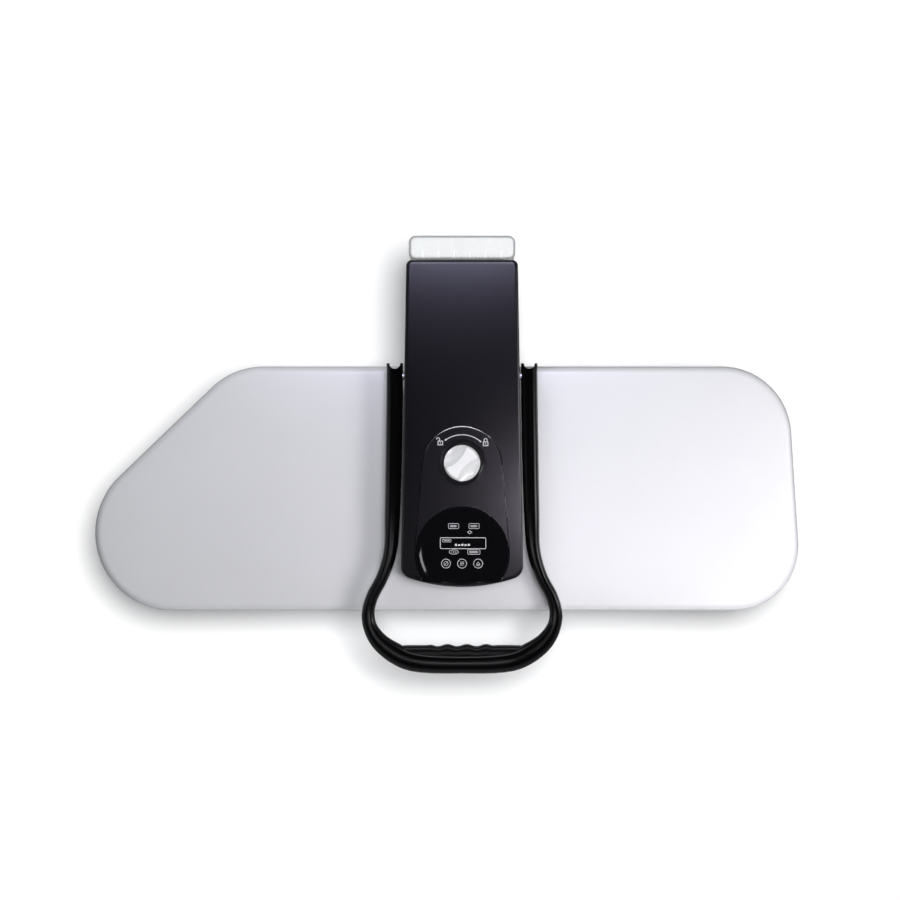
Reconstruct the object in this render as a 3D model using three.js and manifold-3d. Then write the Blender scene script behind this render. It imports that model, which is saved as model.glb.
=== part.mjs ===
// Steam ironing press, closed. Millimetres, +X to the right, +Y to the rear, +Z up, floor at zero.
import * as THREE from 'three';
import { mergeVertices } from 'three/addons/utils/BufferGeometryUtils.js';
import { ConvexGeometry } from 'three/addons/geometries/ConvexGeometry.js';
import Module from 'manifold-3d';

const wasm = await Module();
wasm.setup();

// Driving sizes of the whole press
const headLength = 705;
const headDepth = 244.4;
const handleReach = 62.5;
const rearReach = 129.6;
const armX = 15.5;
const gap = 0.3;
const runningGap = 0.5;
const overrun = 5;
const leastRadius = 0.6;
const weld = 0.001;

// The press stands with the middle of its depth at zero
const pressDepth = handleReach + headDepth + rearReach;
const frontY = handleReach - pressDepth / 2;
const rearY = frontY + headDepth;
const tankRearY = rearY + rearReach;

// Places along Y: behind the head's front edge, before and behind its rear edge, and before the tank's rear
const fromFront = {
  baseFront: 27.75, noseCorner: 35.75, panelSmall: 144.75, panelLarge: 57.75,
  knob: 147.75, buttons: 47.75, displayFront: 62.75, displayRear: 73.75, steam: 63.75, circuitFront: 33.75,
  circuitRear: 81.75, pumpFront: 97.75, frame: 85.75,
};
const beforeHeadRear = { base: 26.65, pivot: 9.65 };
const fromHeadRear = { shroud: 8.35, frameStep: 19.35, tank: 23.35, column: 23.35, hinge: 61.35 };
const fromTankRear = { tailEnd: 22.25, tankHead: 23.65, console: 24.25, column: 32.25 };

// Plan of the head and the board: a pointed nose on the left, a slightly leaning right end
const plan = { noseRadius: 78, frontRadius: 65, rearRadius: 70, shoulderRadius: 74 };
const noseAngle = THREE.MathUtils.degToRad(43.9);
const rightLean = THREE.MathUtils.degToRad(3.66);

// Heights of the stack, from the floor up
const foot = { height: 8.7, radius: 14, topRadius: 11, lip: 2, inset: 34, tailInset: 18 };
const base = {
  bottom: 9, top: 83.7, tailTop: 76, wall: 3, draft: 7, edge: 6, left: -200, right: 225,
  front: frontY + fromFront.baseFront, rear: rearY - beforeHeadRear.base, corner: 35, tailHalf: 50,
  tailRear: tankRearY - fromTankRear.tailEnd, tailCorner: 18, plate: 2.5, overlap: 40, seam: 1.2,
};
const inlet = { radius: 7, rise: 22, flange: 10, flangeThick: 3, inside: 12, bore: 3.6 };
const terminal = { half: 15, depth: 14, height: 12, clear: 4, screw: 2, screwPitch: 9, screwDepth: 4 };
const board = {
  panInset: 6.5, panWall: 1.5, panHeight: 10, padInset: 9.4, padTop: 110.2, coverInset: 3, coverWall: 1.5,
  top: 112, hemDrop: 4, hemWidth: 20, hemWall: 1.8, round: 9, padRound: 6,
};
const head = { top: 160, lip: 3.7, wall: 2, round: 10, crown: 1.2, crownInset: 34 };
const sole = { thickness: 8, chamfer: 2, holeRadius: 2.2, holeRow: 34, holeStep: 58, edge: 34 };
const element = { radius: 4, halfLength: 240, halfDepth: 51 };
const chamber = { halfX: 60, halfY: 34, height: 14, corner: 12, slope: 3 };
const thermostat = { x: 110, radius: 9, height: 9 };
const shield = { rise: 22, thick: 1.5, inset: 14, legX: 150, legY: 70, leg: 4 };
const soleBottom = board.top + gap;
const soleTop = soleBottom + sole.thickness;
const headMiddleY = (frontY + rearY) / 2;

// Console arm, measured from its own middle plane and from the height of its lower edge
const armRise = {
  case: 10, top: 30, rear: 10, pivot: 14, panelFloor: 20, frame: 3, frameTop: 25.5, lock: 16, circuit: 22.4,
  shroudDrop: 30, tankDrop: 18.2, tankTopDrop: 12, tankHeadDrop: 4, shelfDrop: 2.8,
};
const caseBottom = head.top + armRise.case;
const caseTop = caseBottom + armRise.top;

// The console's front is an arc between its corners; its tangents meet at the nose point
const noseArc = { radius: 165, half: 61, cornerCut: 9.6 };
const noseLean = Math.asin((noseArc.half - noseArc.cornerCut) / noseArc.radius);
const noseCornerY = frontY + fromFront.noseCorner;
const consoleCase = {
  bottom: caseBottom, topFront: caseTop, topRear: caseTop + armRise.rear,
  rear: tankRearY - fromTankRear.console,
  rearHalf: 55.5, front: noseCornerY, frontHalf: noseArc.half,
  nose: noseCornerY - noseArc.half * Math.tan(noseLean),
  rearCorner: 6, frontCorner: 13,  wall: 2.5, round: 7, floor: 2.5,
};
const shroud = {
  bottom: caseBottom - armRise.shroudDrop, front: rearY + fromHeadRear.shroud, wall: 2.5, inset: 0.6,
};
const hinge = {
  y: rearY + fromHeadRear.hinge, z: 130, radius: 6, boreGap: 0.3, knuckle: 17.5, earRadius: 14, earIn: 26,
  earThick: 2.5, shaftOut: 21,
};
const bush = { wall: 2, flange: 10, flangeThick: 1.4 };
const coil = { wire: 1.3, radius: 10.6, turns: 4, pitch: 3.4, start: 1.6, leg: 11, leastGap: 0.4 };
const column = {
  half: 22, footFront: rearY + fromHeadRear.column, footRear: tankRearY - fromTankRear.column,
  shroudTop: 108,
  shroudHalf: 34, shroudWall: 2.5, clear: 2, recess: 12, rib: 6, slope: 10,
};
const frame = {
  front: frontY + fromFront.frame, bottom: caseBottom + armRise.frame, top: caseBottom + armRise.frameTop,
  stepY: rearY + fromHeadRear.frameStep, shelfReach: 35, web: 2.5, bridge: 70,
};
const handle = {
  pivotY: rearY - beforeHeadRear.pivot, pivotZ: caseBottom + armRise.pivot, armHalf: 67, shaft: 4,
  bushWall: 2.3,
  notch: 5.5,
  notchBack: 12.5, armHeight: 15, gripDepth: 9.3, gripSeat: 10.1, gripHalf: 8.5, lugReach: 16,
  lift: THREE.MathUtils.degToRad(25), squareShare: 0.72, barDeep: 20.2, barTall: 20, barDrop: 9,
  barSetBack: 10.2,
};
const press = {
  stroke: 4, camRest: 12, camWidth: 10, camCore: 7.6, camX: 14, followerHalf: 13, yokePlate: 3,
};
const yoke = { foot: 14, front: 69, back: 3 };
const knob = {
  y: frontY + fromFront.knob, radius: 18, height: 13, grip: 8, bezelRadius: 23, bezelHeight: 1.6,
  spindle: 4,
  bevel: 1.5, dish: 1.2, pocketShare: 0.62,
};
const lockCam = {
  stroke: 8, rest: 14, core: 5, thickness: 5, z: caseBottom + armRise.lock, width: 20, height: 4,
  noseGap: 1,
};
const island = {
  smallY: frontY + fromFront.panelSmall, smallRadius: 39.5, largeY: frontY + fromFront.panelLarge,
  largeRadius: 47,
  rise: 0.9, floor: caseBottom + armRise.panelFloor, skirt: 3,
};
const lens = { radius: 46.6, thickness: 2, rise: 1.5 };
const button = { y: frontY + fromFront.buttons, pitch: 16, radius: 5.4, travel: 0.8, rise: 0.9, stem: 2 };
const display = { half: 23, front: frontY + fromFront.displayFront, rear: frontY + fromFront.displayRear };
const steam = { y: frontY + fromFront.steam, outer: 5, bore: 3.2, nipple: 2.9, reach: 8, above: 6 };
const circuit = {
  half: 44, front: frontY + fromFront.circuitFront, rear: frontY + fromFront.circuitRear,
  z: caseBottom + armRise.circuit, thick: 1.6, corner: 18,
};
const pump = {
  x: 42, front: frontY + fromFront.pumpFront, length: 44, radius: 9, rise: 12, port: 3.4, portReach: 4,
};
const hose = { x: 38, radius: 2.4, low: 6.2, bend: 14, stub: 6 };
const tank = {
  front: rearY + fromHeadRear.tank, bottom: caseBottom - armRise.tankDrop,
  top: consoleCase.topRear - armRise.tankTopDrop, headTop: consoleCase.topRear - armRise.tankHeadDrop,
  headStart: tankRearY - fromTankRear.tankHead, half: 51.5, headHalf: 53, wall: 2.4, corner: 7, edge: 4,
  neck: 11,
  capY: rearY + fromHeadRear.hinge, rib: 1.6, ribLength: 9, ribRise: 0.9, ribPitch: 15.6, ribStart: 2,
  outlet: 5,
  outletRise: 27, valve: 3, plugDepth: 5, plugLip: 2, plugRise: 4,
};
const tankShelf = tank.bottom - armRise.shelfDrop;
const shelfRear = hinge.y + frame.shelfReach;

// Stations of the handle loop from its arms to its bar: behind the head's front edge, out from the arms,
// change of height, width and height of the section
const loopStations = {
  armMiddle: { front: 160.75, out: 1, rise: 0, wide: 16.5, tall: 15 },
  armFront: { front: 95.75, out: 2.5, rise: 0, wide: 15.5, tall: 15 },
  hipStart: { front: 63.75, out: 4, rise: -1, wide: 13.6, tall: 14 },
  hip: { front: 47.75, out: 7.5, rise: -2.2, wide: 12.8, tall: 14 },
  flare: { front: 31.75, out: 13.5, rise: -3.6, wide: 12.4, tall: 14 },
  flareEnd: { front: 14.75, out: 22.5, rise: -5.2, wide: 12.4, tall: 14 },
  widest: { front: -0.25, out: 26.6, rise: -6.4, wide: 12.6, tall: 14 },
  turnStart: { front: -14.25, out: 25.2, rise: -7.4, wide: 13.8, tall: 15 },
  turn: { front: -29.35, out: 16.5, rise: -8.2, wide: 17.6, tall: 16.5 },
  turnEnd: { front: -41, out: 1.9, rise: -8.8, wide: 20.8, tall: 18 },
  barStart: { front: -49.4, out: -17, rise: -9, wide: 21.6, tall: 20 },
};

// Numbers of steps and pieces
const counts = {
  loopSteps: 40, loopSides: 12, waveSteps: 30, gripSides: 12, ribs: 6, holeSides: 6, coilSteps: 8,
};

// Materials
const paints = {
  white: [0xe9eaec, 0.45, 0],
  silver: [0xd5d8de, 0.35, 0.6],
  black: [0x0c0d10, 0.3, 0],
  gloss: [0x050507, 0.08, 0],
  softBlack: [0x16171a, 0.6, 0],
  steel: [0xb8bbbf, 0.3, 1],
  castAluminium: [0xc4c6c8, 0.4, 0.9],
  cloth: [0xdfe1e4, 0.9, 0],
  foam: [0xe8e0c8, 0.95, 0],
  clear: [0xeef2f4, 0.2, 0],
  boardGreen: [0x1f5a34, 0.5, 0],
  brass: [0xc2a14d, 0.35, 1],
  rubber: [0x1b1b1c, 0.85, 0],
};

// Solids and meshes
function solidFrom(geometry) {
  const bare = new THREE.BufferGeometry();
  bare.setAttribute('position', geometry.getAttribute('position').clone());
  if (geometry.index) {
    bare.setIndex(geometry.index.clone());
  }
  const merged = mergeVertices(bare, weld);
  const mesh = new wasm.Mesh({
    numProp: 3,
    vertProperties: new Float32Array(merged.getAttribute('position').array),
    triVerts: new Uint32Array(merged.index.array),
  });
  return new wasm.Manifold(mesh);
}

function geometryFrom(solid) {
  const mesh = solid.getMesh();
  const geometry = new THREE.BufferGeometry();
  geometry.setAttribute('position', new THREE.BufferAttribute(new Float32Array(mesh.vertProperties), 3));
  geometry.setIndex(new THREE.BufferAttribute(new Uint32Array(mesh.triVerts), 1));
  return geometry;
}

const steamPress = new THREE.Group();

function addNode(name, shape, paint) {
  const [color, roughness, metalness] = paints[paint];
  const material = new THREE.MeshStandardMaterial({ color, roughness, metalness });
  const mesh = new THREE.Mesh(shape.isBufferGeometry ? shape : geometryFrom(shape), material);
  mesh.name = name;
  steamPress.add(mesh);
  return mesh;
}

const join = (first, ...rest) => rest.reduce((sum, each) => sum.add(each), first);
const cut = (first, ...rest) => rest.reduce((sum, each) => sum.subtract(each), first);

function box(x0, x1, y0, y1, z0, z1) {
  const geometry = new THREE.BoxGeometry(x1 - x0, y1 - y0, z1 - z0);
  return solidFrom(geometry.translate((x0 + x1) / 2, (y0 + y1) / 2, (z0 + z1) / 2));
}

// A revolve about a vertical line: the profile runs upwards from the axis back to the axis
function turned(profile, x, y, sides = 24) {
  const points = profile.map(([radius, z]) => new THREE.Vector2(radius, z));
  return solidFrom(new THREE.LatheGeometry(points, sides).rotateX(Math.PI / 2).translate(x, y, 0));
}

function diskZ(x, y, z0, z1, radius, sides = 24) {
  return turned([[0, z0], [radius, z0], [radius, z1], [0, z1]], x, y, sides);
}

function rodX(x0, x1, y, z, radius, sides = 20) {
  const geometry = new THREE.CylinderGeometry(radius, radius, x1 - x0, sides).rotateZ(Math.PI / 2);
  return solidFrom(geometry.translate((x0 + x1) / 2, y, z));
}

function rodY(y0, y1, x, z, radius, sides = 20) {
  const geometry = new THREE.CylinderGeometry(radius, radius, y1 - y0, sides);
  return solidFrom(geometry.translate(x, (y0 + y1) / 2, z));
}

// A side profile in Y and Z, drawn out along X
function sidePlate(points, x0, x1) {
  const shape = new THREE.Shape(points.map(([y, z]) => new THREE.Vector2(y, z)));
  const geometry = new THREE.ExtrudeGeometry(shape, { depth: x1 - x0, bevelEnabled: false });
  geometry.applyMatrix4(new THREE.Matrix4().makeBasis(
    new THREE.Vector3(0, 1, 0),
    new THREE.Vector3(0, 0, 1),
    new THREE.Vector3(1, 0, 0),
  ));
  return solidFrom(geometry.translate(x0, 0, 0));
}

// Triangles that close a ring, seen from the side that its own winding faces
function capFaces(ring) {
  const normal = new THREE.Vector3();
  ring.forEach((point, i) => {
    const next = ring[(i + 1) % ring.length];
    normal.x += (point.y - next.y) * (point.z + next.z);
    normal.y += (point.z - next.z) * (point.x + next.x);
    normal.z += (point.x - next.x) * (point.y + next.y);
  });
  const size = { x: Math.abs(normal.x), y: Math.abs(normal.y), z: Math.abs(normal.z) };
  let axes = ['x', 'y'];
  let facing = normal.z;
  if (size.x > size.y && size.x > size.z) {
    axes = ['y', 'z'];
    facing = normal.x;
  } else if (size.y > size.z) {
    axes = ['z', 'x'];
    facing = normal.y;
  }
  if (facing < 0) {
    axes.reverse();
  }
  const flat = ring.map((point) => new THREE.Vector2(point[axes[0]], point[axes[1]]));
  return THREE.ShapeUtils.triangulateShape(flat, []);
}

// A closed body through rings that wind counter-clockwise, seen against the way they travel
function loft(rings) {
  const sides = rings[0].length;
  const faces = [];
  for (let r = 0; r + 1 < rings.length; r += 1) {
    for (let s = 0; s < sides; s += 1) {
      const a = r * sides + s;
      const b = r * sides + ((s + 1) % sides);
      faces.push(a, b, b + sides, a, b + sides, a + sides);
    }
  }
  const last = (rings.length - 1) * sides;
  capFaces(rings[0]).forEach(([a, b, c]) => faces.push(a, c, b));
  capFaces(rings[rings.length - 1]).forEach(([a, b, c]) => faces.push(last + a, last + b, last + c));
  const geometry = new THREE.BufferGeometry().setFromPoints(rings.flat());
  geometry.setIndex(faces);
  return solidFrom(geometry);
}

// A polygon with rounded corners, counter-clockwise, moved inwards by an inset
function outline(corners, inset = 0, steps = 8) {
  const points = [];
  corners.forEach((corner, i) => {
    const before = corners[(i + corners.length - 1) % corners.length];
    const after = corners[(i + 1) % corners.length];
    const heading = Math.atan2(corner.y - before.y, corner.x - before.x);
    const leaving = Math.atan2(after.y - corner.y, after.x - corner.x);
    const turn = THREE.MathUtils.euclideanModulo(leaving - heading, 2 * Math.PI);
    const radius = Math.max(corner.r - inset, leastRadius);
    const inward = heading + turn / 2 + Math.PI / 2;
    const reach = (inset + radius) / Math.cos(turn / 2);
    for (let k = 0; k <= steps; k += 1) {
      const angle = heading - Math.PI / 2 + (turn * k) / steps;
      const x = corner.x + reach * Math.cos(inward) + radius * Math.cos(angle);
      const y = corner.y + reach * Math.sin(inward) + radius * Math.sin(angle);
      points.push(new THREE.Vector2(x, y));
    }
  });
  return points;
}

function level(points, z) {
  const height = typeof z === 'function' ? z : () => z;
  return points.map((p) => new THREE.Vector3(p.x, p.y, height(p.y)));
}

// A stack of insets at heights, such as [[inset, z], ...]
function stack(corners, layers, steps) {
  return loft(layers.map(([inset, z]) => level(outline(corners, inset, steps), z)));
}

// Insets and heights of a rounded upper edge that ends level with top
function roundedEdge(inset, top, radius, steps = 4) {
  const layers = [];
  for (let k = 0; k <= steps; k += 1) {
    const angle = (Math.PI / 2) * (k / steps);
    layers.push([inset + radius * (1 - Math.cos(angle)), top - radius * (1 - Math.sin(angle))]);
  }
  return layers;
}

function rectangle(x0, x1, y0, y1, r) {
  return [{ x: x0, y: y0, r }, { x: x1, y: y0, r }, { x: x1, y: y1, r }, { x: x0, y: y1, r }];
}

// Head and board share this outline
function headCorners() {
  const noseTurn = Math.PI - noseAngle;
  const frontTurn = Math.PI / 2 + rightLean;
  const noseX = plan.noseRadius - headLength / 2 - plan.noseRadius * Math.tan(noseTurn / 2);
  const frontX = headLength / 2 - plan.frontRadius + plan.frontRadius * Math.tan(frontTurn / 2);
  return [
    { x: noseX, y: frontY, r: plan.noseRadius },
    { x: frontX, y: frontY, r: plan.frontRadius },
    { x: frontX - headDepth * Math.tan(rightLean), y: rearY, r: plan.rearRadius },
    { x: noseX + headDepth / Math.tan(noseAngle), y: rearY, r: plan.shoulderRadius },
  ];
}
const headPlan = headCorners();

// Base
const mainPlan = rectangle(base.left, base.right, base.front, base.rear, base.corner);
const tailPlan = rectangle(
  armX - base.tailHalf,
  armX + base.tailHalf,
  base.rear - base.overlap,
  base.tailRear,
  base.tailCorner,
);

function makeBase() {
  const body = (corners, top, inset, drop) => stack(corners, [
    [inset, base.bottom - drop],
    ...roundedEdge(inset + base.draft, top - inset, base.edge, 3),
  ], 5);
  const outer = join(body(mainPlan, base.top, 0, 0), body(tailPlan, base.tailTop, 0, 0));
  const inner = join(
    body(mainPlan, base.top, base.wall, overrun),
    body(tailPlan, base.tailTop, base.wall, overrun),
  );
  const inletZ = base.bottom + inlet.rise;
  const holeStart = base.tailRear - base.overlap / 2;
  const hole = rodY(holeStart, base.tailRear + overrun, armX, inletZ, inlet.radius + gap);
  addNode('base_housing', cut(outer, inner, hole), 'white');
  const edge = base.wall + base.seam;
  const slab = (corners) => stack(corners, [[edge, base.bottom], [edge, base.bottom + base.plate]], 5);
  addNode('base_bottom_cover', join(slab(mainPlan), slab(tailPlan)), 'softBlack');
}

function makeInlet() {
  const z = base.bottom + inlet.rise;
  const face = base.tailRear + gap;
  const body = join(
    rodY(face - inlet.inside, face + inlet.flangeThick, armX, z, inlet.radius),
    rodY(face, face + inlet.flangeThick, armX, z, inlet.flange),
  );
  const bore = rodY(face - inlet.inside - overrun, face + inlet.flangeThick + overrun, armX, z, inlet.bore);
  addNode('cord_inlet', cut(body, bore), 'rubber');
  const blockRear = face - inlet.inside - terminal.clear;
  const blockFloor = base.bottom + base.plate + gap;
  const blockTop = blockFloor + terminal.height;
  const block = box(
    armX - terminal.half,
    armX + terminal.half,
    blockRear - terminal.depth,
    blockRear,
    blockFloor,
    blockTop,
  );
  const screws = [-1, 0, 1].map((place) => diskZ(
    armX + place * terminal.screwPitch,
    blockRear - terminal.depth / 2,
    blockTop - terminal.screwDepth,
    blockTop + overrun,
    terminal.screw,
    10,
  ));
  addNode('terminal_block', cut(block, ...screws), 'white');
}

function makeFeet() {
  const places = {
    front_left: [base.left + foot.inset, base.front + foot.inset],
    front_right: [base.right - foot.inset, base.front + foot.inset],
    middle_left: [base.left + foot.inset, base.rear - foot.inset],
    middle_right: [base.right - foot.inset, base.rear - foot.inset],
    rear_left: [armX - base.tailHalf + foot.tailInset, base.tailRear - foot.tailInset],
    rear_right: [armX + base.tailHalf - foot.tailInset, base.tailRear - foot.tailInset],
  };
  Object.entries(places).forEach(([place, [x, y]]) => {
    const profile = [
      [0, 0],
      [foot.radius - foot.lip, 0],
      [foot.radius, foot.lip],
      [foot.topRadius, foot.height],
      [0, foot.height],
    ];
    addNode(`foot_${place}`, turned(profile, x, y, 20), 'rubber');
  });
}

// Board: pan, pad and fitted cover
function makeBoard() {
  const panBottom = base.top + gap;
  const panTop = panBottom + board.panHeight;
  const pan = cut(
    stack(headPlan, [[board.panInset + board.panWall, panBottom], [board.panInset, panTop]], 7),
    stack(headPlan, [
      [board.panInset + 2 * board.panWall, panBottom + board.panWall],
      [board.panInset + board.panWall, panTop + overrun],
    ], 7),
  );
  addNode('board_pan', pan, 'steel');
  const padBottom = panBottom + board.panWall + gap;
  const pad = stack(headPlan, [
    [board.padInset + board.panWall, padBottom],
    [board.padInset, panTop],
    ...roundedEdge(board.padInset, board.padTop, board.padRound, 2),
  ], 7);
  addNode('board_pad', pad, 'foam');
  const hem = panBottom - board.hemDrop;
  const inner = board.coverInset + board.coverWall;
  const rings = [
    ...roundedEdge(inner, board.padTop + gap, board.round - board.coverWall, 3).reverse(),
    [inner, hem + board.hemWall],
    [inner + board.hemWidth, hem + board.hemWall],
    [inner + board.hemWidth, hem],
    [inner, hem],
    [board.coverInset, hem + board.hemWall],
    ...roundedEdge(board.coverInset, board.top, board.round, 3),
  ];
  addNode('board_cover', stack(headPlan, rings, 7), 'cloth');
}

// Hinge column on the tail of the base
function makeColumn() {
  const arc = [];
  for (let k = 0; k <= 14; k += 1) {
    const angle = Math.PI * (k / 14);
    arc.push([hinge.y + hinge.knuckle * Math.cos(angle), hinge.z + hinge.knuckle * Math.sin(angle)]);
  }
  const plateZ = base.tailTop + gap;
  const body = sidePlate(
    [[column.footFront, plateZ], [column.footRear, plateZ], ...arc],
    armX - column.half,
    armX + column.half,
  );
  const bore = rodX(
    armX - column.half - overrun,
    armX + column.half + overrun,
    hinge.y,
    hinge.z,
    hinge.radius + hinge.boreGap,
  );
  const lightening = sidePlate(
    [
      [column.footFront + column.recess, plateZ + column.recess],
      [column.footRear - column.recess, plateZ + column.recess],
      [hinge.y, hinge.z - hinge.knuckle],
    ],
    armX - column.half + column.rib,
    armX + column.half + overrun,
  );
  addNode('hinge_column', cut(body, bore, lightening), 'steel');
  const inset = column.clear;
  const low = rectangle(
    armX - column.shroudHalf,
    armX + column.shroudHalf,
    column.footFront - column.shroudWall - inset,
    column.footRear + column.shroudWall + inset,
    column.shroudWall + inset,
  );
  const high = rectangle(
    armX - column.shroudHalf + inset,
    armX + column.shroudHalf - inset,
    column.footFront + inset,
    column.footRear - column.slope,
    column.shroudWall + inset,
  );
  const shell = (grow, extra) => loft([
    level(outline(low, grow, 3), plateZ - extra),
    level(outline(high, grow, 3), column.shroudTop + extra),
  ]);
  addNode('column_cover', cut(shell(0, 0), shell(column.shroudWall, overrun)), 'softBlack');
}

// Hinge shaft, bushes and the two counterbalance coils round the shaft
const shaftEnd = hinge.earIn + hinge.earThick + hinge.shaftOut;

function makeHinge() {
  addNode('hinge_shaft', rodX(armX - shaftEnd, armX + shaftEnd, hinge.y, hinge.z, hinge.radius, 24), 'steel');
  [['left', -1], ['right', 1]].forEach(([side, way]) => {
    const inside = hinge.earIn - bush.flangeThick - gap;
    const outside = hinge.earIn + hinge.earThick + gap;
    const span = (a, b, radius) => rodX(
      armX + Math.min(way * a, way * b),
      armX + Math.max(way * a, way * b),
      hinge.y,
      hinge.z,
      radius,
    );
    const body = join(
      span(inside, outside, hinge.radius + hinge.boreGap + bush.wall),
      span(inside, inside + bush.flangeThick, bush.flange),
    );
    const bore = span(inside - overrun, outside + overrun, hinge.radius + hinge.boreGap);
    addNode(`hinge_bush_${side}`, cut(body, bore), 'brass');
    const coilStart = hinge.earIn + hinge.earThick + coil.start;
    addNode(`balance_coil_${side}`, makeCoil(armX + way * coilStart, way), 'steel');
  });
}

// A tube of five sides round a line of points, in one unbroken body
function tubeAlong(points, radius, sides = 5) {
  const rings = points.map((point, i) => {
    const before = points[Math.max(i - 1, 0)];
    const after = points[Math.min(i + 1, points.length - 1)];
    const along = after.clone().sub(before).normalize();
    const sideways = new THREE.Vector3(1, 0, 0);
    if (Math.abs(along.x) > Math.abs(along.z)) {
      sideways.set(0, 0, 1);
    }
    const across = sideways.clone().cross(along).normalize();
    const raise = along.clone().cross(across).normalize();
    const ring = [];
    for (let k = 0; k < sides; k += 1) {
      const turn = (2 * Math.PI * k) / sides;
      const reach = across.clone().multiplyScalar(radius * Math.cos(turn));
      ring.push(reach.addScaledVector(raise, radius * Math.sin(turn)).add(point));
    }
    return ring;
  });
  return loft(rings);
}

// A torsion coil round the hinge shaft: two straight legs and the turns between them
function makeCoil(x0, way) {
  const steps = coil.turns * counts.coilSteps;
  const points = [];
  for (let k = 0; k <= steps; k += 1) {
    const turn = (2 * Math.PI * k) / counts.coilSteps;
    points.push(new THREE.Vector3(
      x0 + (way * coil.pitch * k) / counts.coilSteps,
      hinge.y - coil.radius * Math.cos(turn),
      hinge.z + coil.radius * Math.sin(turn),
    ));
  }
  const turnGap = leastTurnGap(points);
  console.log(`coil ${way < 0 ? 'left' : 'right'}: least gap to itself ${turnGap.toFixed(2)} mm`);
  if (turnGap < coil.leastGap) {
    throw new Error('the turns of the coil lie too close');
  }
  const lowEnd = points[0].clone().setZ(points[0].z - coil.leg);
  const highEnd = points[steps].clone().setZ(points[steps].z + coil.leg);
  return tubeAlong([lowEnd, ...points, highEnd], coil.wire);
}

// The least gap between wire surfaces that lie a turn or more apart, measured on points along the coil
function leastTurnGap(points) {
  const fine = [];
  points.slice(1).forEach((point, i) => {
    [0, 0.25, 0.5, 0.75].forEach((share) => fine.push(points[i].clone().lerp(point, share)));
  });
  const apart = counts.coilSteps * 3;
  let least = Infinity;
  fine.forEach((point, i) => fine.slice(i + apart).forEach((other) => {
    least = Math.min(least, point.distanceTo(other) - 2 * coil.wire);
  }));
  return least;
}

// Arm frame: two side plates with hinge ears, a shelf under the tank and a bridge in front
const camShaftBore = handle.shaft + handle.bushWall;

function makeFrame() {
  const ear = [];
  for (let k = 0; k <= 12; k += 1) {
    const angle = Math.PI + Math.PI * (k / 12);
    ear.push([hinge.y + hinge.earRadius * Math.cos(angle), hinge.z + hinge.earRadius * Math.sin(angle)]);
  }
  const profile = [
    [frame.front, frame.bottom],
    [frame.stepY - frame.web * 3, frame.bottom],
    [frame.stepY - frame.web * 2, tankShelf],
    ...ear,
    [shelfRear, tankShelf],
    [shelfRear, tank.bottom - gap],
    [frame.stepY, tank.bottom - gap],
    [frame.stepY, frame.top],
    [frame.front, frame.top],
  ];
  const outside = hinge.earIn + hinge.earThick;
  const boreSpan = outside + overrun;
  const shelfTop = tank.bottom - gap;
  const bridgeRear = frame.front + frame.bridge;
  const plates = join(
    sidePlate(profile, armX - outside, armX - hinge.earIn),
    sidePlate(profile, armX + hinge.earIn, armX + outside),
    box(armX - outside, armX + outside, frame.stepY, shelfRear, shelfTop - frame.web, shelfTop),
    box(armX - outside, armX + outside, frame.front, bridgeRear, frame.bottom, frame.bottom + frame.web),
  );
  const hingeBore = rodX(
    armX - boreSpan,
    armX + boreSpan,
    hinge.y,
    hinge.z,
    hinge.radius + hinge.boreGap + bush.wall + gap,
  );
  const handleBore = rodX(armX - boreSpan, armX + boreSpan, handle.pivotY, handle.pivotZ, camShaftBore + gap);
  addNode('arm_frame', cut(plates, hingeBore, handleBore), 'steel');
  [['left', -1], ['right', 1]].forEach(([side, way]) => {
    const a = armX + way * (hinge.earIn - bush.flangeThick);
    const b = armX + way * (outside + bush.flangeThick);
    const body = rodX(Math.min(a, b), Math.max(a, b), handle.pivotY, handle.pivotZ, camShaftBore);
    const bore = rodX(
      Math.min(a, b) - overrun,
      Math.max(a, b) + overrun,
      handle.pivotY,
      handle.pivotZ,
      handle.shaft + gap,
    );
    addNode(`handle_bush_${side}`, cut(body, bore), 'brass');
  });
}

// Console: cover, lower cover, rear shroud
const consolePlan = [
  { x: armX - consoleCase.rearHalf, y: consoleCase.rear, r: consoleCase.rearCorner },
  { x: armX - consoleCase.frontHalf, y: consoleCase.front, r: consoleCase.frontCorner },
  { x: armX, y: consoleCase.nose, r: noseArc.radius },
  { x: armX + consoleCase.frontHalf, y: consoleCase.front, r: consoleCase.frontCorner },
  { x: armX + consoleCase.rearHalf, y: consoleCase.rear, r: consoleCase.rearCorner },
];
const consoleSlope = (consoleCase.topRear - consoleCase.topFront) / (consoleCase.rear - consoleCase.nose);
const consoleTop = (y) => consoleCase.topFront + consoleSlope * (y - consoleCase.nose);

function consoleBody(inset, rise, bottom) {
  const layers = roundedEdge(inset, rise, Math.max(consoleCase.round - inset, leastRadius), 4);
  const rings = layers.map(([within, z]) => level(outline(consolePlan, within, 6), (y) => consoleTop(y) + z));
  return loft([level(outline(consolePlan, inset, 6), bottom), ...rings]);
}

// The raised panel runs round two circles and over the front of the console
function islandPrism(grow, z0, z1) {
  const shape = [];
  const steps = 20;
  const span = island.smallY - island.largeY;
  const tilt = Math.asin((island.largeRadius - island.smallRadius) / span);
  for (let k = 0; k <= steps; k += 1) {
    const angle = tilt + (Math.PI - 2 * tilt) * (k / steps);
    const radius = island.smallRadius + grow;
    shape.push(new THREE.Vector2(armX + radius * Math.cos(angle), island.smallY + radius * Math.sin(angle)));
  }
  for (let k = 0; k <= steps; k += 1) {
    const angle = Math.PI - tilt + (Math.PI + 2 * tilt) * (k / steps);
    const radius = island.largeRadius + grow;
    shape.push(new THREE.Vector2(armX + radius * Math.cos(angle), island.largeY + radius * Math.sin(angle)));
  }
  return loft([level(shape, z0), level(shape, z1)]);
}

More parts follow.
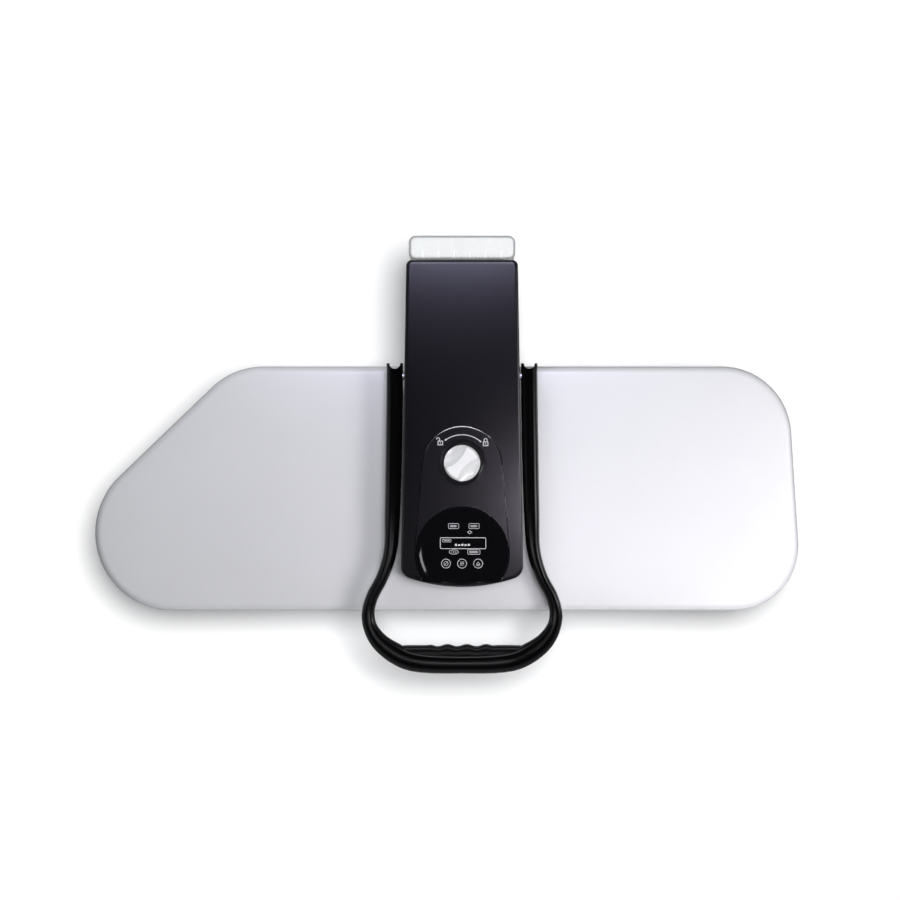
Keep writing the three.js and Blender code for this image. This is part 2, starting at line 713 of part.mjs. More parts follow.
const handleHole = (radius) => rodX(
  armX - consoleCase.frontHalf - overrun,
  armX + consoleCase.frontHalf + overrun,
  handle.pivotY,
  handle.pivotZ,
  radius,
);
const buttonXs = [-1, 0, 1].map((place) => armX + place * button.pitch);
const ceiling = consoleCase.topRear + overrun;

function makeConsole() {
  const tankMouth = box(
    armX - tank.headHalf + gap,
    armX + tank.headHalf - gap,
    consoleCase.rear - consoleCase.wall * 3,
    consoleCase.rear + overrun,
    shroud.bottom + consoleCase.wall,
    tank.headTop - gap,
  );
  const cover = cut(
    consoleBody(0, 0, consoleCase.bottom),
    consoleBody(consoleCase.wall, -consoleCase.wall, consoleCase.bottom - overrun),
    islandPrism(gap, island.floor, ceiling),
    handleHole(handle.shaft + runningGap),
    tankMouth,
  );
  addNode('console_cover', cover, 'black');
  const skin = island.skirt;
  const panel = cut(
    islandPrism(0, island.floor, ceiling).intersect(consoleBody(0, island.rise, island.floor - overrun)),
    consoleBody(skin, -skin, island.floor - overrun * 2),
    diskZ(armX, island.largeY, lensFloor(), ceiling, lens.radius + gap, 56),
    diskZ(armX, knob.y, consoleTop(knob.y) - overrun * 2, ceiling, knob.spindle + gap),
    diskZ(armX, knob.y, dishZ(), ceiling, knob.bezelRadius + gap, 40),
    box(armX - display.half, armX + display.half, display.front, display.rear, island.floor, ceiling),
    ...buttonXs.map((x) => diskZ(x, button.y, island.floor - overrun, ceiling, button.stem + runningGap)),
  );
  addNode('control_island', panel, 'softBlack');
  const glass = cut(
    diskZ(armX, island.largeY, lensFloor() + gap, ceiling, lens.radius, 56).intersect(
      consoleBody(0, lens.rise, island.floor - overrun),
    ),
    ...buttonXs.map((x) => diskZ(x, button.y, island.floor, ceiling, button.radius + gap)),
  );
  addNode('panel_lens', glass, 'gloss');
  const edge = consoleCase.wall + gap;
  const floorPlate = stack(consolePlan, [
    [edge, consoleCase.bottom],
    [edge, consoleCase.bottom + consoleCase.floor],
  ], 6);
  const wellHalf = hinge.earIn + hinge.earThick + 1;
  const well = box(
    armX - consoleCase.frontHalf,
    armX + consoleCase.frontHalf,
    frame.stepY - shroud.wall * 5,
    consoleCase.rear + overrun,
    consoleCase.bottom - overrun,
    consoleCase.bottom + overrun,
  );
  const yokeSlot = box(
    armX - wellHalf + hinge.earThick * 2,
    armX + wellHalf - hinge.earThick * 2,
    handle.pivotY - press.followerHalf - runningGap * 2,
    handle.pivotY + press.followerHalf + runningGap * 2,
    consoleCase.bottom - overrun,
    consoleCase.bottom + overrun,
  );
  const holeTop = frame.bottom + overrun;
  const steamHole = diskZ(armX, steam.y, consoleCase.bottom - overrun, holeTop, steam.outer + gap);
  addNode('console_lower_cover', cut(floorPlate, well, yokeSlot, steamHole), 'softBlack');
}
const dishZ = () => consoleTop(knob.y - knob.bezelRadius) + island.rise - knob.dish;
const lensFloor = () => consoleTop(island.largeY) - lens.thickness;

function makeShroud() {
  const shroudPlan = rectangle(
    armX - consoleCase.rearHalf + shroud.inset,
    armX + consoleCase.rearHalf - shroud.inset,
    shroud.front,
    consoleCase.rear,
    consoleCase.rearCorner,
  );
  const body = stack(shroudPlan, [[0, shroud.bottom], [0, consoleCase.bottom - gap]], 4);
  const inner = stack(shroudPlan, [
    [shroud.wall, shroud.bottom - overrun],
    [shroud.wall, consoleCase.bottom + overrun],
  ], 4);
  const mouth = box(
    armX - tank.headHalf + gap,
    armX + tank.headHalf - gap,
    consoleCase.rear - shroud.wall * 3,
    consoleCase.rear + overrun,
    tank.bottom - gap,
    consoleCase.bottom + overrun,
  );
  addNode('rear_shroud', cut(body, inner, mouth), 'softBlack');
}

// Electronics and water path inside the console
function makeInsides() {
  const boardPlan = rectangle(
    armX - circuit.half,
    armX + circuit.half,
    circuit.front,
    circuit.rear,
    circuit.corner,
  );
  const slab = stack(boardPlan, [[0, circuit.z - circuit.thick], [0, circuit.z]], 4);
  addNode('control_board', slab, 'boardGreen');
  const top = lensFloor();
  const screen = box(
    armX - display.half + gap,
    armX + display.half - gap,
    display.front + gap,
    display.rear - gap,
    circuit.z + gap,
    top - gap,
  );
  addNode('display_module', screen, 'gloss');
  const pumpX = armX + pump.x;
  const pumpZ = consoleCase.bottom + pump.rise;
  const pumpRear = pump.front + pump.length;
  addNode('water_pump', join(
    rodY(pump.front, pumpRear, pumpX, pumpZ, pump.radius),
    rodY(pump.front - pump.portReach, pumpRear + pump.portReach, pumpX, pumpZ, pump.port, 12),
  ), 'softBlack');
  const low = consoleCase.bottom + hose.low;
  const valveZ = tank.bottom + tank.outletRise;
  addNode('water_hose', hoseThrough([
    [armX + hose.x, tank.front - tank.valve - gap, valveZ],
    [armX + hose.x, tank.front - tank.valve - hose.stub, valveZ],
    [armX + hose.x, handle.pivotY + hose.bend, low],
    [armX + hose.x, handle.pivotY - hose.bend, low],
    [pumpX, pumpRear + pump.portReach + hose.stub, pumpZ],
    [pumpX, pumpRear + pump.portReach + gap, pumpZ],
  ]), 'rubber');
  const nozzleTop = frame.bottom + steam.above;
  addNode('feed_hose', hoseThrough([
    [pumpX, pump.front - pump.portReach - gap, pumpZ],
    [pumpX, pump.front - pump.portReach - hose.stub, pumpZ],
    [pumpX - hose.bend, steam.y + hose.bend / 4, (pumpZ + nozzleTop) / 2 - hose.radius],
    [armX + hose.bend, steam.y, nozzleTop - hose.radius - gap],
    [armX + steam.outer + gap, steam.y, nozzleTop - hose.radius - gap],
  ]), 'rubber');
  const nozzle = cut(
    diskZ(armX, steam.y, head.top + press.stroke + 2 * gap, frame.bottom + steam.above, steam.outer, 20),
    diskZ(armX, steam.y, head.top, head.top + steam.reach + press.stroke + gap, steam.bore, 16),
  );
  addNode('steam_hose', nozzle, 'rubber');
}

function hoseThrough(stops) {
  const points = stops.map((stop) => new THREE.Vector3(...stop));
  const route = new THREE.CatmullRomCurve3(points, false, 'centripetal');
  return tubeAlong(route.getPoints(12), hose.radius, 8);
}

// Lock: knob, spindle with a two-sided scroll cam, and the bolt that the cam drives
function supportCurve(pointAt, from, to, steps) {
  const points = [];
  for (let k = 0; k <= steps; k += 1) {
    points.push(pointAt(from + ((to - from) * k) / steps));
  }
  return points;
}

// A point of the curve whose support distance changes at a steady rate with the angle
function scrollPoint(angle, distance, rate) {
  return new THREE.Vector2(
    distance * Math.cos(angle) - rate * Math.sin(angle),
    distance * Math.sin(angle) + rate * Math.cos(angle),
  );
}

function makeLock() {
  const z = dishZ() + gap;
  const bezel = cut(
    diskZ(armX, knob.y, z, z + knob.bezelHeight, knob.bezelRadius, 40),
    diskZ(armX, knob.y, z - overrun, z + overrun, knob.radius + runningGap, 40),
  );
  addNode('knob_ring', bezel, 'softBlack');
  const profile = [
    [0, z],
    [knob.radius, z],
    [knob.radius, z + knob.height - 2 * knob.bevel],
    [knob.radius - knob.bevel, z + knob.height],
    [0, z + knob.height],
  ];
  let cap = turned(profile, armX, knob.y, 48);
  [-1, 1].forEach((way) => {
    const hollow = new THREE.SphereGeometry(knob.radius, 24, 16);
    hollow.scale(1, knob.pocketShare, knob.pocketShare);
    hollow.translate(0, way * (knob.grip / 2 + knob.radius * knob.pocketShare), knob.height);
    hollow.rotateZ(Math.PI / 4);
    cap = cap.subtract(solidFrom(hollow.translate(armX, knob.y, z)));
  });
  addNode('lock_knob', cap, 'silver');
  const rate = -lockCam.stroke / (Math.PI / 2);
  const rearArc = supportCurve(
    (turn) => scrollPoint(Math.PI / 2 - turn, lockCam.rest + rate * turn, -rate),
    0,
    Math.PI / 2,
    10,
  );
  const core = supportCurve(
    (turn) => new THREE.Vector2(lockCam.core * Math.cos(turn), lockCam.core * Math.sin(turn)),
    0,
    2 * Math.PI,
    16,
  );
  const flat = [...rearArc, ...core];
  const z0 = lockCam.z;
  const corners = flat.flatMap((p) => [
    new THREE.Vector3(p.x, p.y, z0),
    new THREE.Vector3(p.x, p.y, z0 + lockCam.thickness),
  ]);
  const cam = solidFrom(new ConvexGeometry(corners).translate(armX, knob.y, 0));
  addNode('knob_spindle', join(cam, diskZ(armX, knob.y, z0, z - gap, knob.spindle)), 'steel');
  const face = knob.y + lockCam.rest + gap;
  const bolt = box(
    armX - lockCam.width / 2,
    armX + lockCam.width / 2,
    face,
    handle.pivotY - handle.lugReach - lockCam.noseGap,
    lockCam.z,
    lockCam.z + lockCam.height,
  );
  addNode('lock_bolt', bolt, 'steel');
}

// Push buttons: a cap in the lens on a stem that reaches towards the control board
function makeButtons() {
  ['left', 'middle', 'right'].forEach((place, i) => {
    const x = buttonXs[i];
    const top = consoleTop(button.y) + lens.rise + button.rise;
    const seat = lensFloor() + gap * 2;
    const profile = [
      [0, circuit.z + button.travel + gap],
      [button.stem, circuit.z + button.travel + gap],
      [button.stem, seat + button.travel],
      [button.radius, seat + button.travel],
      [button.radius, top - gap],
      [button.radius - 2 * gap, top],
      [0, top],
    ];
    addNode(`button_${place}`, turned(profile, x, button.y, 24), 'gloss');
  });
}

// Handle: one bent loop, a grip insert with finger waves, and the cam shaft between its arms
const armStation = { out: 0, rise: 0, wide: loopStations.armMiddle.wide, tall: loopStations.armMiddle.tall };
const loopPath = [
  { ...armStation, y: handle.pivotY + handle.notchBack },
  { ...armStation, y: handle.pivotY },
  ...Object.values(loopStations).map((station) => ({ ...station, y: frontY + station.front })),
];
const barY = frontY - handleReach + handle.barSetBack;

function handleRings(grow) {
  const half = loopPath.map(({ out, y, rise }) => new THREE.Vector3(handle.armHalf + out, y, rise));
  const other = half.map((p) => new THREE.Vector3(-p.x, p.y, p.z)).reverse();
  const middle = new THREE.Vector3(0, barY, -handle.barDrop);
  const route = new THREE.CatmullRomCurve3([...half, middle, ...other], false, 'centripetal');
  const widths = loopPath.map((station) => station.wide);
  const heights = loopPath.map((station) => station.tall);
  const wide = [...widths, handle.barDeep, ...[...widths].reverse()];
  const tall = [...heights, handle.barTall, ...[...heights].reverse()];
  const spans = wide.length - 1;
  const rings = [];
  for (let k = 0; k <= counts.loopSteps; k += 1) {
    const share = k / counts.loopSteps;
    const at = route.getPoint(share);
    const along = route.getTangent(share).setZ(0).normalize();
    const across = new THREE.Vector3(-along.y, along.x, 0);
    const slot = Math.min(Math.floor(share * spans), spans - 1);
    const part = share * spans - slot;
    const width = THREE.MathUtils.lerp(wide[slot], wide[slot + 1], part) / 2 + grow;
    const height = THREE.MathUtils.lerp(tall[slot], tall[slot + 1], part) / 2 + grow;
    const ring = [];
    for (let s = 0; s < counts.loopSides; s += 1) {
      const turn = (2 * Math.PI * (s + 0.5)) / counts.loopSides;
      const round = (value) => Math.sign(value) * Math.abs(value) ** handle.squareShare;
      const point = at.clone().addScaledVector(across, width * round(Math.cos(turn)));
      point.z += height * round(Math.sin(turn)) + handle.pivotZ;
      ring.push(point.setX(point.x + armX));
    }
    rings.push(ring);
  }
  return rings;
}
const wave = { half: 58, start: 30, pitch: 19.3, depth: 1, endShare: 0.02, flatShare: 0.1, lowShare: 0.7 };

function makeHandle() {
  const ends = [-1, 1].map((way) => diskZ(
    armX + way * handle.armHalf,
    (handle.pivotY + handle.notchBack),
    handle.pivotZ - handle.armHeight,
    handle.pivotZ + handle.armHeight,
    handle.notch,
  ));
  const loop = cut(
    loft(handleRings(0)),
    ...ends,
    rodX(
      armX - handle.armHalf - handle.shaft,
      armX + handle.armHalf + handle.shaft,
      handle.pivotY,
      handle.pivotZ,
      handle.shaft + gap,
    ),
  );
  addNode('handle_loop', loop, 'gloss');
  const gripRings = [];
  const barZ = handle.pivotZ - handle.barDrop;
  for (let k = 0; k <= counts.waveSteps; k += 1) {
    const share = (2 * k) / counts.waveSteps - 1;
    const x = armX + wave.half * share;
    const ease = Math.sqrt(Math.max(1 - Math.abs(share) ** 6, wave.endShare));
    const inWaves = Math.abs(x - armX) < wave.start ? 1 : 0;
    const swell = inWaves * wave.depth * Math.sin((2 * Math.PI * (x - armX)) / wave.pitch);
    const deep = handle.gripSeat + (handle.gripDepth + swell) * ease;
    const half = handle.gripHalf * THREE.MathUtils.lerp(wave.lowShare, 1, ease);
    const ring = [];
    for (let s = 0; s < counts.gripSides; s += 1) {
      const turn = (2 * Math.PI * (s + 0.5)) / counts.gripSides;
      ring.push(new THREE.Vector3(
        x,
        barY + deep * Math.max(Math.cos(turn), -wave.flatShare),
        barZ + half * Math.sin(turn),
      ));
    }
    gripRings.push(ring);
  }
  addNode('handle_grip', cut(loft(gripRings), loft(handleRings(gap))), 'softBlack');
  const shaftHalf = handle.armHalf + handle.shaft - gap;
  const lug = box(
    armX - overrun,
    armX + overrun,
    handle.pivotY - handle.lugReach,
    handle.pivotY,
    handle.pivotZ - overrun / 2,
    handle.pivotZ + overrun / 2,
  );
  const shaft = join(
    rodX(armX - shaftHalf, armX + shaftHalf, handle.pivotY, handle.pivotZ, handle.shaft, 20),
    lug,
  );
  addNode('handle_shaft', shaft, 'black');
  const rate = press.stroke / handle.lift;
  const lobe = supportCurve(
    (turn) => scrollPoint(turn - Math.PI / 2, press.camRest - rate * turn, -rate),
    0,
    handle.lift,
    8,
  );
  const core = supportCurve(
    (turn) => new THREE.Vector2(press.camCore * Math.cos(turn), press.camCore * Math.sin(turn)),
    0,
    2 * Math.PI,
    20,
  );
  [['left', -1], ['right', 1]].forEach(([side, way]) => {
    const x0 = armX + way * press.camX - press.camWidth / 2;
    const corners = [...lobe, ...core].flatMap((p) => [
      new THREE.Vector3(x0, p.x, p.y),
      new THREE.Vector3(x0 + press.camWidth, p.x, p.y),
    ]);
    const disc = new ConvexGeometry(corners).translate(0, handle.pivotY, handle.pivotZ);
    const bore = rodX(
      x0 - overrun,
      x0 + press.camWidth + overrun,
      handle.pivotY,
      handle.pivotZ,
      handle.shaft + gap,
    );
    addNode(`pressure_cam_${side}`, cut(solidFrom(disc), bore), 'steel');
  });
}

// Pressing head: cover, soleplate with steam holes and what heats it
function makeHead() {
  const bottom = soleBottom + head.lip;
  const outer = [
    [0, bottom],
    ...roundedEdge(0, head.top - head.crown, head.round, 5),
    [head.crownInset, head.top],
  ];
  const inner = [
    [head.wall, bottom - overrun],
    ...roundedEdge(head.wall, head.top - head.crown - head.wall, head.round - head.wall, 4),
  ];
  addNode('head_cover', cut(stack(headPlan, outer, 7), stack(headPlan, inner, 7)), 'silver');
  const edge = head.wall + gap;
  let plate = stack(headPlan, [
    [edge + sole.chamfer, soleBottom],
    [edge, soleBottom + sole.chamfer],
    [edge, soleTop],
  ], 7);
  const holes = [];
  for (let row = -2; row <= 2; row += 1) {
    for (let place = -5; place <= 5; place += 1) {
      const x = place * sole.holeStep + (row % 2 === 0 ? 0 : sole.holeStep / 2);
      const y = headMiddleY + row * sole.holeRow;
      const lean = (y - frontY) / Math.tan(noseAngle) - headLength / 2;
      if (x > lean + sole.edge && x < headLength / 2 - sole.edge) {
        holes.push(diskZ(x, y, soleBottom - overrun, soleTop + overrun, sole.holeRadius, counts.holeSides));
      }
    }
  }
  plate = cut(plate, ...holes);
  addNode('soleplate', plate, 'castAluminium');
  makeHeater();
  const chamberPlan = rectangle(
    armX - chamber.halfX,
    armX + chamber.halfX,
    headMiddleY - chamber.halfY,
    headMiddleY + chamber.halfY,
    chamber.corner,
  );
  const low = soleTop + gap;
  const chamberBody = stack(chamberPlan, [[0, low], [chamber.slope, low + chamber.height]], 4);
  addNode('steam_chamber', chamberBody, 'castAluminium');
  const sensorX = armX + thermostat.x;
  const sensorTop = low + thermostat.height;
  addNode('thermostat', diskZ(sensorX, headMiddleY, low, sensorTop, thermostat.radius), 'brass');
  makeShield(headMiddleY);
}

// The element: one tube in a hairpin whose bend lies towards the nose
function makeHeater() {
  const z = soleTop + gap + element.radius;
  const bendX = element.halfDepth - element.halfLength;
  const points = [new THREE.Vector3(element.halfLength, headMiddleY - element.halfDepth, z)];
  for (let k = 0; k <= 10; k += 1) {
    const turn = -Math.PI / 2 - Math.PI * (k / 10);
    points.push(new THREE.Vector3(
      bendX + element.halfDepth * Math.cos(turn),
      headMiddleY + element.halfDepth * Math.sin(turn),
      z,
    ));
  }
  points.push(new THREE.Vector3(element.halfLength, headMiddleY + element.halfDepth, z));
  addNode('heating_element', tubeAlong(points, element.radius, 10), 'steel');
}

function makeShield(middleY) {
  const z = soleTop + shield.rise;
  const legs = [-1, 1].flatMap((wayX) => [-1, 1].map((wayY) => diskZ(
    wayX * shield.legX,
    middleY + wayY * shield.legY,
    soleTop + gap,
    z + shield.thick / 2,
    shield.leg,
    12,
  )));
  const sheet = stack(headPlan, [[shield.inset, z], [shield.inset, z + shield.thick]], 7);
  const way = diskZ(armX, steam.y, z - overrun, z + overrun, steam.nipple + runningGap, 16);
  addNode('heat_shield', cut(join(sheet, ...legs), way), 'steel');
  addNode('steam_nipple', cut(
    diskZ(armX, steam.y, head.top + gap, head.top + steam.reach, steam.nipple, 16),
    diskZ(armX, steam.y, head.top - overrun, head.top + steam.reach + overrun, steam.nipple / 2, 12),
  ), 'brass');
}

// The yoke stands on the head and carries the faces that the cams press
function makeYoke() {
  const z0 = head.top + gap;
  const top = handle.pivotZ - press.camRest - gap;
  const half = press.followerHalf;
  const outside = press.camX + press.camWidth / 2;
  const plate = box(
    armX - outside - yoke.foot,
    armX + outside + yoke.foot,
    handle.pivotY - yoke.front,
    handle.pivotY - yoke.back,
    z0,
    z0 + press.yokePlate,
  );
  const posts = [-1, 1].map((way) => box(
    armX + way * press.camX - press.camWidth / 2,
    armX + way * press.camX + press.camWidth / 2,
    handle.pivotY - half,
    handle.pivotY - yoke.back,
    z0,
    top,
  ));
  addNode('head_yoke', join(plate, ...posts), 'steel');
}

// Water tank: it slides out to the rear, with its taller end as the grip
function makeTank() {
  const lower = (inset) => stack(
    rectangle(armX - tank.half, armX + tank.half, tank.front, tank.headStart + overrun, tank.corner),
    [[inset, tank.bottom + inset], ...roundedEdge(inset, tank.top - inset, tank.edge, 2)],
    4,
  );
  const upper = (inset) => stack(
    rectangle(armX - tank.headHalf, armX + tank.headHalf, tank.headStart, tankRearY, tank.corner),
    [[inset, tank.bottom + inset], ...roundedEdge(inset, tank.headTop - inset, tank.edge, 3)],
    4,
  );
  const link = box(
    armX - tank.half + tank.wall,
    armX + tank.half - tank.wall,
    tank.headStart - tank.wall,
    tank.headStart + tank.wall * 2,
    tank.bottom + tank.wall,
    tank.top - tank.wall - tank.edge,
  );
  const neck = diskZ(armX, tank.capY, tank.top - overrun, tank.top + overrun, tank.neck);
  const valveX = armX + hose.x;
  const valveZ = tank.bottom + tank.outletRise;
  const outlet = rodY(tank.front - overrun, tank.front + overrun, valveX, valveZ, tank.outlet);
  const hollow = join(lower(tank.wall), upper(tank.wall), link, neck, outlet);
  const ribs = Array.from({ length: counts.ribs }, (_, i) => {
    const x = armX + (i - (counts.ribs - 1) / 2) * tank.ribPitch;
    const y0 = tank.headStart + tank.ribStart;
    const ribTop = tank.headTop + tank.ribRise;
    return box(x, x + tank.rib, y0, y0 + tank.ribLength, tank.headTop - tank.wall / 2, ribTop);
  });
  addNode('water_tank', join(cut(join(lower(0), upper(0)), hollow), ...ribs), 'clear');
  const plug = turned([
    [0, tank.top - tank.plugDepth],
    [tank.neck - gap, tank.top - tank.plugDepth],
    [tank.neck - gap, tank.top + gap],
    [tank.neck + tank.plugLip, tank.top + gap],
    [tank.neck + tank.plugLip, tank.top + tank.plugRise],
    [0, tank.top + tank.plugRise],
  ], armX, tank.capY, 24);
  addNode('tank_cap', plug, 'softBlack');
  const valve = join(
    rodY(tank.front - tank.valve, tank.front + tank.wall, valveX, valveZ, tank.outlet - gap),
    rodY(tank.front - tank.valve, tank.front - gap, valveX, valveZ, tank.outlet + tank.plugLip),
  );
  addNode('tank_valve', valve, 'brass');
}

makeBase();
makeInlet();
makeFeet();
makeBoard();
makeColumn();
makeHinge();
makeFrame();
makeConsole();
makeShroud();
makeInsides();
makeLock();
makeButtons();
makeHandle();
makeHead();
makeYoke();
makeTank();

export default steamPress;
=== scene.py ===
import math

import bmesh
import bpy
from mathutils import Matrix, Vector


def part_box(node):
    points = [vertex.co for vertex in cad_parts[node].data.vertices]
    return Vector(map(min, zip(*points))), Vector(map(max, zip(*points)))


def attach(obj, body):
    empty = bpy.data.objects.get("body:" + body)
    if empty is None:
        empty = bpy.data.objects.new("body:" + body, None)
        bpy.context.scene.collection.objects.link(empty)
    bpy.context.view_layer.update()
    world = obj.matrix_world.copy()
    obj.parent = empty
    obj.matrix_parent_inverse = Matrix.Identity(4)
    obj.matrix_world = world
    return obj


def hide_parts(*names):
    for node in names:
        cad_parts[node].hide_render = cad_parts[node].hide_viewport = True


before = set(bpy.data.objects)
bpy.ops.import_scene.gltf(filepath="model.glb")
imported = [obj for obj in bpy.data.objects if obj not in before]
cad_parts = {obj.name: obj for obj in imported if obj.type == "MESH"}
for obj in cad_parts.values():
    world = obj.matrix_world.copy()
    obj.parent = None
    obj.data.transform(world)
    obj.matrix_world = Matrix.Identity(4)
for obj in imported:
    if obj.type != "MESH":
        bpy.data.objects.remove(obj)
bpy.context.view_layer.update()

# Steam ironing press, closed, seen from straight above. Sizes in the dictionaries are millimetres.
mm = 0.001
up = Vector((0, 0, 1))
clear = 0.3              # between pieces that fit into each other
hub = 0.001              # radius of a turned outline's closed ends
cutLow, cutHigh = 180.0, 230.0        # upright cutters run from under the panel to over it


def boxOf(node):
    low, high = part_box(node)
    return low / mm, high / mm


# the arm's middle plane and the knob's centre
knobLow, knobHigh = boxOf("lock_knob")
armX = (knobLow.x + knobHigh.x) / 2
knobY = (knobLow.y + knobHigh.y) / 2
headLow, headHigh = boxOf("head_cover")
print("frame loaded, arm plane at", round(armX, 2), "mm")

# camera, placed before anything else is made
cameraSettings = {"lens": 300.0, "sensor": 36.0, "frameWidth": 900.0, "aim": (3.5, 5.0, 165.0)}


def makeCamera(lens, sensor, frameWidth, aim):
    data = bpy.data.cameras.new("photoCamera")
    data.lens = lens
    data.sensor_width = sensor
    distance = frameWidth * lens / sensor
    data.clip_end = 2 * distance * mm
    camera = bpy.data.objects.new("photoCamera", data)
    camera.location = (Vector(aim) + distance * up) * mm
    bpy.context.scene.collection.objects.link(camera)
    bpy.context.scene.camera = camera


makeCamera(**cameraSettings)
print("camera set")


# materials: every one is a node tree on object coordinates
def setInputs(tree, node, inputs):
    for name, value in inputs.items():
        if isinstance(value, bpy.types.NodeSocket):
            tree.links.new(value, node.inputs[name])
        else:
            node.inputs[name].default_value = value


def addNode(tree, kind, inputs, **fields):
    node = tree.nodes.new("ShaderNode" + kind)
    for name, value in fields.items():
        setattr(node, name, value)
    setInputs(tree, node, inputs)
    return node


def newMaterial(name):
    material = bpy.data.materials.new(name)
    material.use_nodes = True
    tree = material.node_tree
    return material, tree, tree.nodes["Principled BSDF"], addNode(tree, "TexCoord", {}).outputs["Object"]


def addNoise(tree, place, scale, detail=3.0, stretch=(1, 1, 1)):
    mapped = addNode(tree, "Mapping", {"Vector": place, "Scale": stretch}).outputs["Vector"]
    return addNode(tree, "TexNoise", {"Vector": mapped, "Scale": scale, "Detail": detail}).outputs["Fac"]


def addRamp(tree, source, low, high):
    ramp = addNode(tree, "ValToRGB", {"Fac": source})
    for element, position, colour in zip(ramp.color_ramp.elements, (0.3, 0.7), (low, high)):
        element.position = position
        element.color = (*colour, 1)
    return ramp.outputs["Color"]


def addRange(tree, source, low, high):
    return addNode(tree, "MapRange", {"Value": source, "To Min": low, "To Max": high}).outputs["Result"]


def addBump(tree, source, strength, distance):
    bump = addNode(tree, "Bump", {"Height": source, "Strength": strength, "Distance": distance})
    return bump.outputs["Normal"]


def surface(name, base, tint=0.06, rough=(0.3, 0.4), metallic=0.0, grain=900.0, bump=0.08, blotch=14.0,
            coat=0.0, coatRough=0.1, stretch=(1, 1, 1), sheen=0.0, seeThrough=0.0, ior=1.5):
    material, tree, shader, place = newMaterial(name)
    clouds = addNoise(tree, place, blotch)
    fine = addNoise(tree, place, grain, 2.0, stretch)
    darker, lighter = [[min(channel * share, 1.0) for channel in base] for share in (1 - tint, 1 + tint)]
    setInputs(tree, shader, {
        "Base Color": addRamp(tree, clouds, darker, lighter), "Roughness": addRange(tree, fine, *rough),
        "Normal": addBump(tree, fine, bump, 0.0002), "Metallic": metallic, "Coat Weight": coat,
        "Coat Roughness": coatRough, "Sheen Weight": sheen, "Transmission Weight": seeThrough, "IOR": ior,
    })
    return material


surfaceSettings = {
    "whiteShell": dict(base=(0.56, 0.57, 0.59), tint=0.02, rough=(0.38, 0.48), grain=1600, bump=0.12),
    "silverCover": dict(base=(0.32, 0.322, 0.336), tint=0.015, rough=(0.34, 0.42), metallic=0.15, grain=2400,
                        bump=0.05, coat=0.2, coatRough=0.25),
    "blackShell": dict(base=(0.0011, 0.0009, 0.0018), tint=0.15, rough=(0.19, 0.21), grain=2200, bump=0.008),
    "glossBlack": dict(base=(0.0008, 0.0008, 0.0011), tint=0.2, rough=(0.18, 0.21), grain=700, bump=0.003),
    "softBlack": dict(base=(0.008, 0.008, 0.010), tint=0.15, rough=(0.5, 0.62), grain=2600, bump=0.2),
    "panelBlack": dict(base=(0.0024, 0.0021, 0.0034), tint=0.12, rough=(0.2, 0.225), grain=2600, bump=0.006),
    "gripBlack": dict(base=(0.0012, 0.0012, 0.0015), tint=0.12, rough=(0.26, 0.32), grain=2000, bump=0.01),
    "lensBlack": dict(base=(0.002, 0.002, 0.003), tint=0.1, rough=(0.04, 0.08), grain=300, bump=0.01,
                      coat=1.0, coatRough=0.03),
    "steel": dict(base=(0.52, 0.53, 0.55), tint=0.08, rough=(0.25, 0.42), metallic=1.0, grain=500, bump=0.1,
                  stretch=(1, 12, 1)),
    "castAluminium": dict(base=(0.62, 0.63, 0.64), tint=0.05, rough=(0.32, 0.5), metallic=0.95, grain=1200,
                          bump=0.15),
    "knobSilver": dict(base=(0.43, 0.433, 0.442), tint=0.03, rough=(0.2, 0.3), metallic=0.35, grain=600,
                       bump=0.05, stretch=(1, 18, 1)),
    "brass": dict(base=(0.62, 0.46, 0.2), tint=0.08, rough=(0.25, 0.4), metallic=1.0),
    "rubber": dict(base=(0.02, 0.02, 0.021), tint=0.2, rough=(0.7, 0.85), grain=1500, bump=0.3),
    "circuit": dict(base=(0.02, 0.12, 0.05), tint=0.3, rough=(0.3, 0.5), grain=800),
    "whiteInk": dict(base=(0.6, 0.6, 0.62), tint=0.03, rough=(0.45, 0.6), grain=3000, bump=0.05),
    "padFelt": dict(base=(0.7, 0.66, 0.55), tint=0.1, rough=(0.85, 0.98), grain=1800, bump=0.5, sheen=0.3),
    "clearTank": dict(base=(0.82, 0.84, 0.85), tint=0.048, rough=(0.22, 0.34), grain=1500, bump=0.06,
                      blotch=30.0, seeThrough=0.55, ior=1.46),
    "tankRib": dict(base=(0.86, 0.88, 0.89), tint=0.03, grain=1500),
}
clothSettings = {"base": (0.45, 0.462, 0.475), "threads": 330.0, "wander": 0.6, "fade": 0.93, "sheen": 0.25}


# a weave of two crossing sets of threads
def makeCloth(name, base, threads, wander, fade, sheen):
    material, tree, shader, place = newMaterial(name)
    warp, weft = [addNode(tree, "TexWave", {"Vector": place, "Scale": threads, "Distortion": wander},
                          bands_direction=direction).outputs["Fac"] for direction in ("X", "Y")]
    weave = addNode(tree, "Math", {0: warp, 1: weft}, operation="MAXIMUM").outputs[0]
    darker = [channel * fade for channel in base]
    setInputs(tree, shader, {
        "Base Color": addRamp(tree, addNoise(tree, place, 25.0), darker, base),
        "Roughness": addRange(tree, weave, 0.75, 0.95), "Normal": addBump(tree, weave, 0.25, 0.0003),
        "Sheen Weight": sheen,
    })
    return material


materials = {name: surface(name, **values) for name, values in surfaceSettings.items()}
materials["coverCloth"] = makeCloth("coverCloth", **clothSettings)
print("materials made:", len(materials))


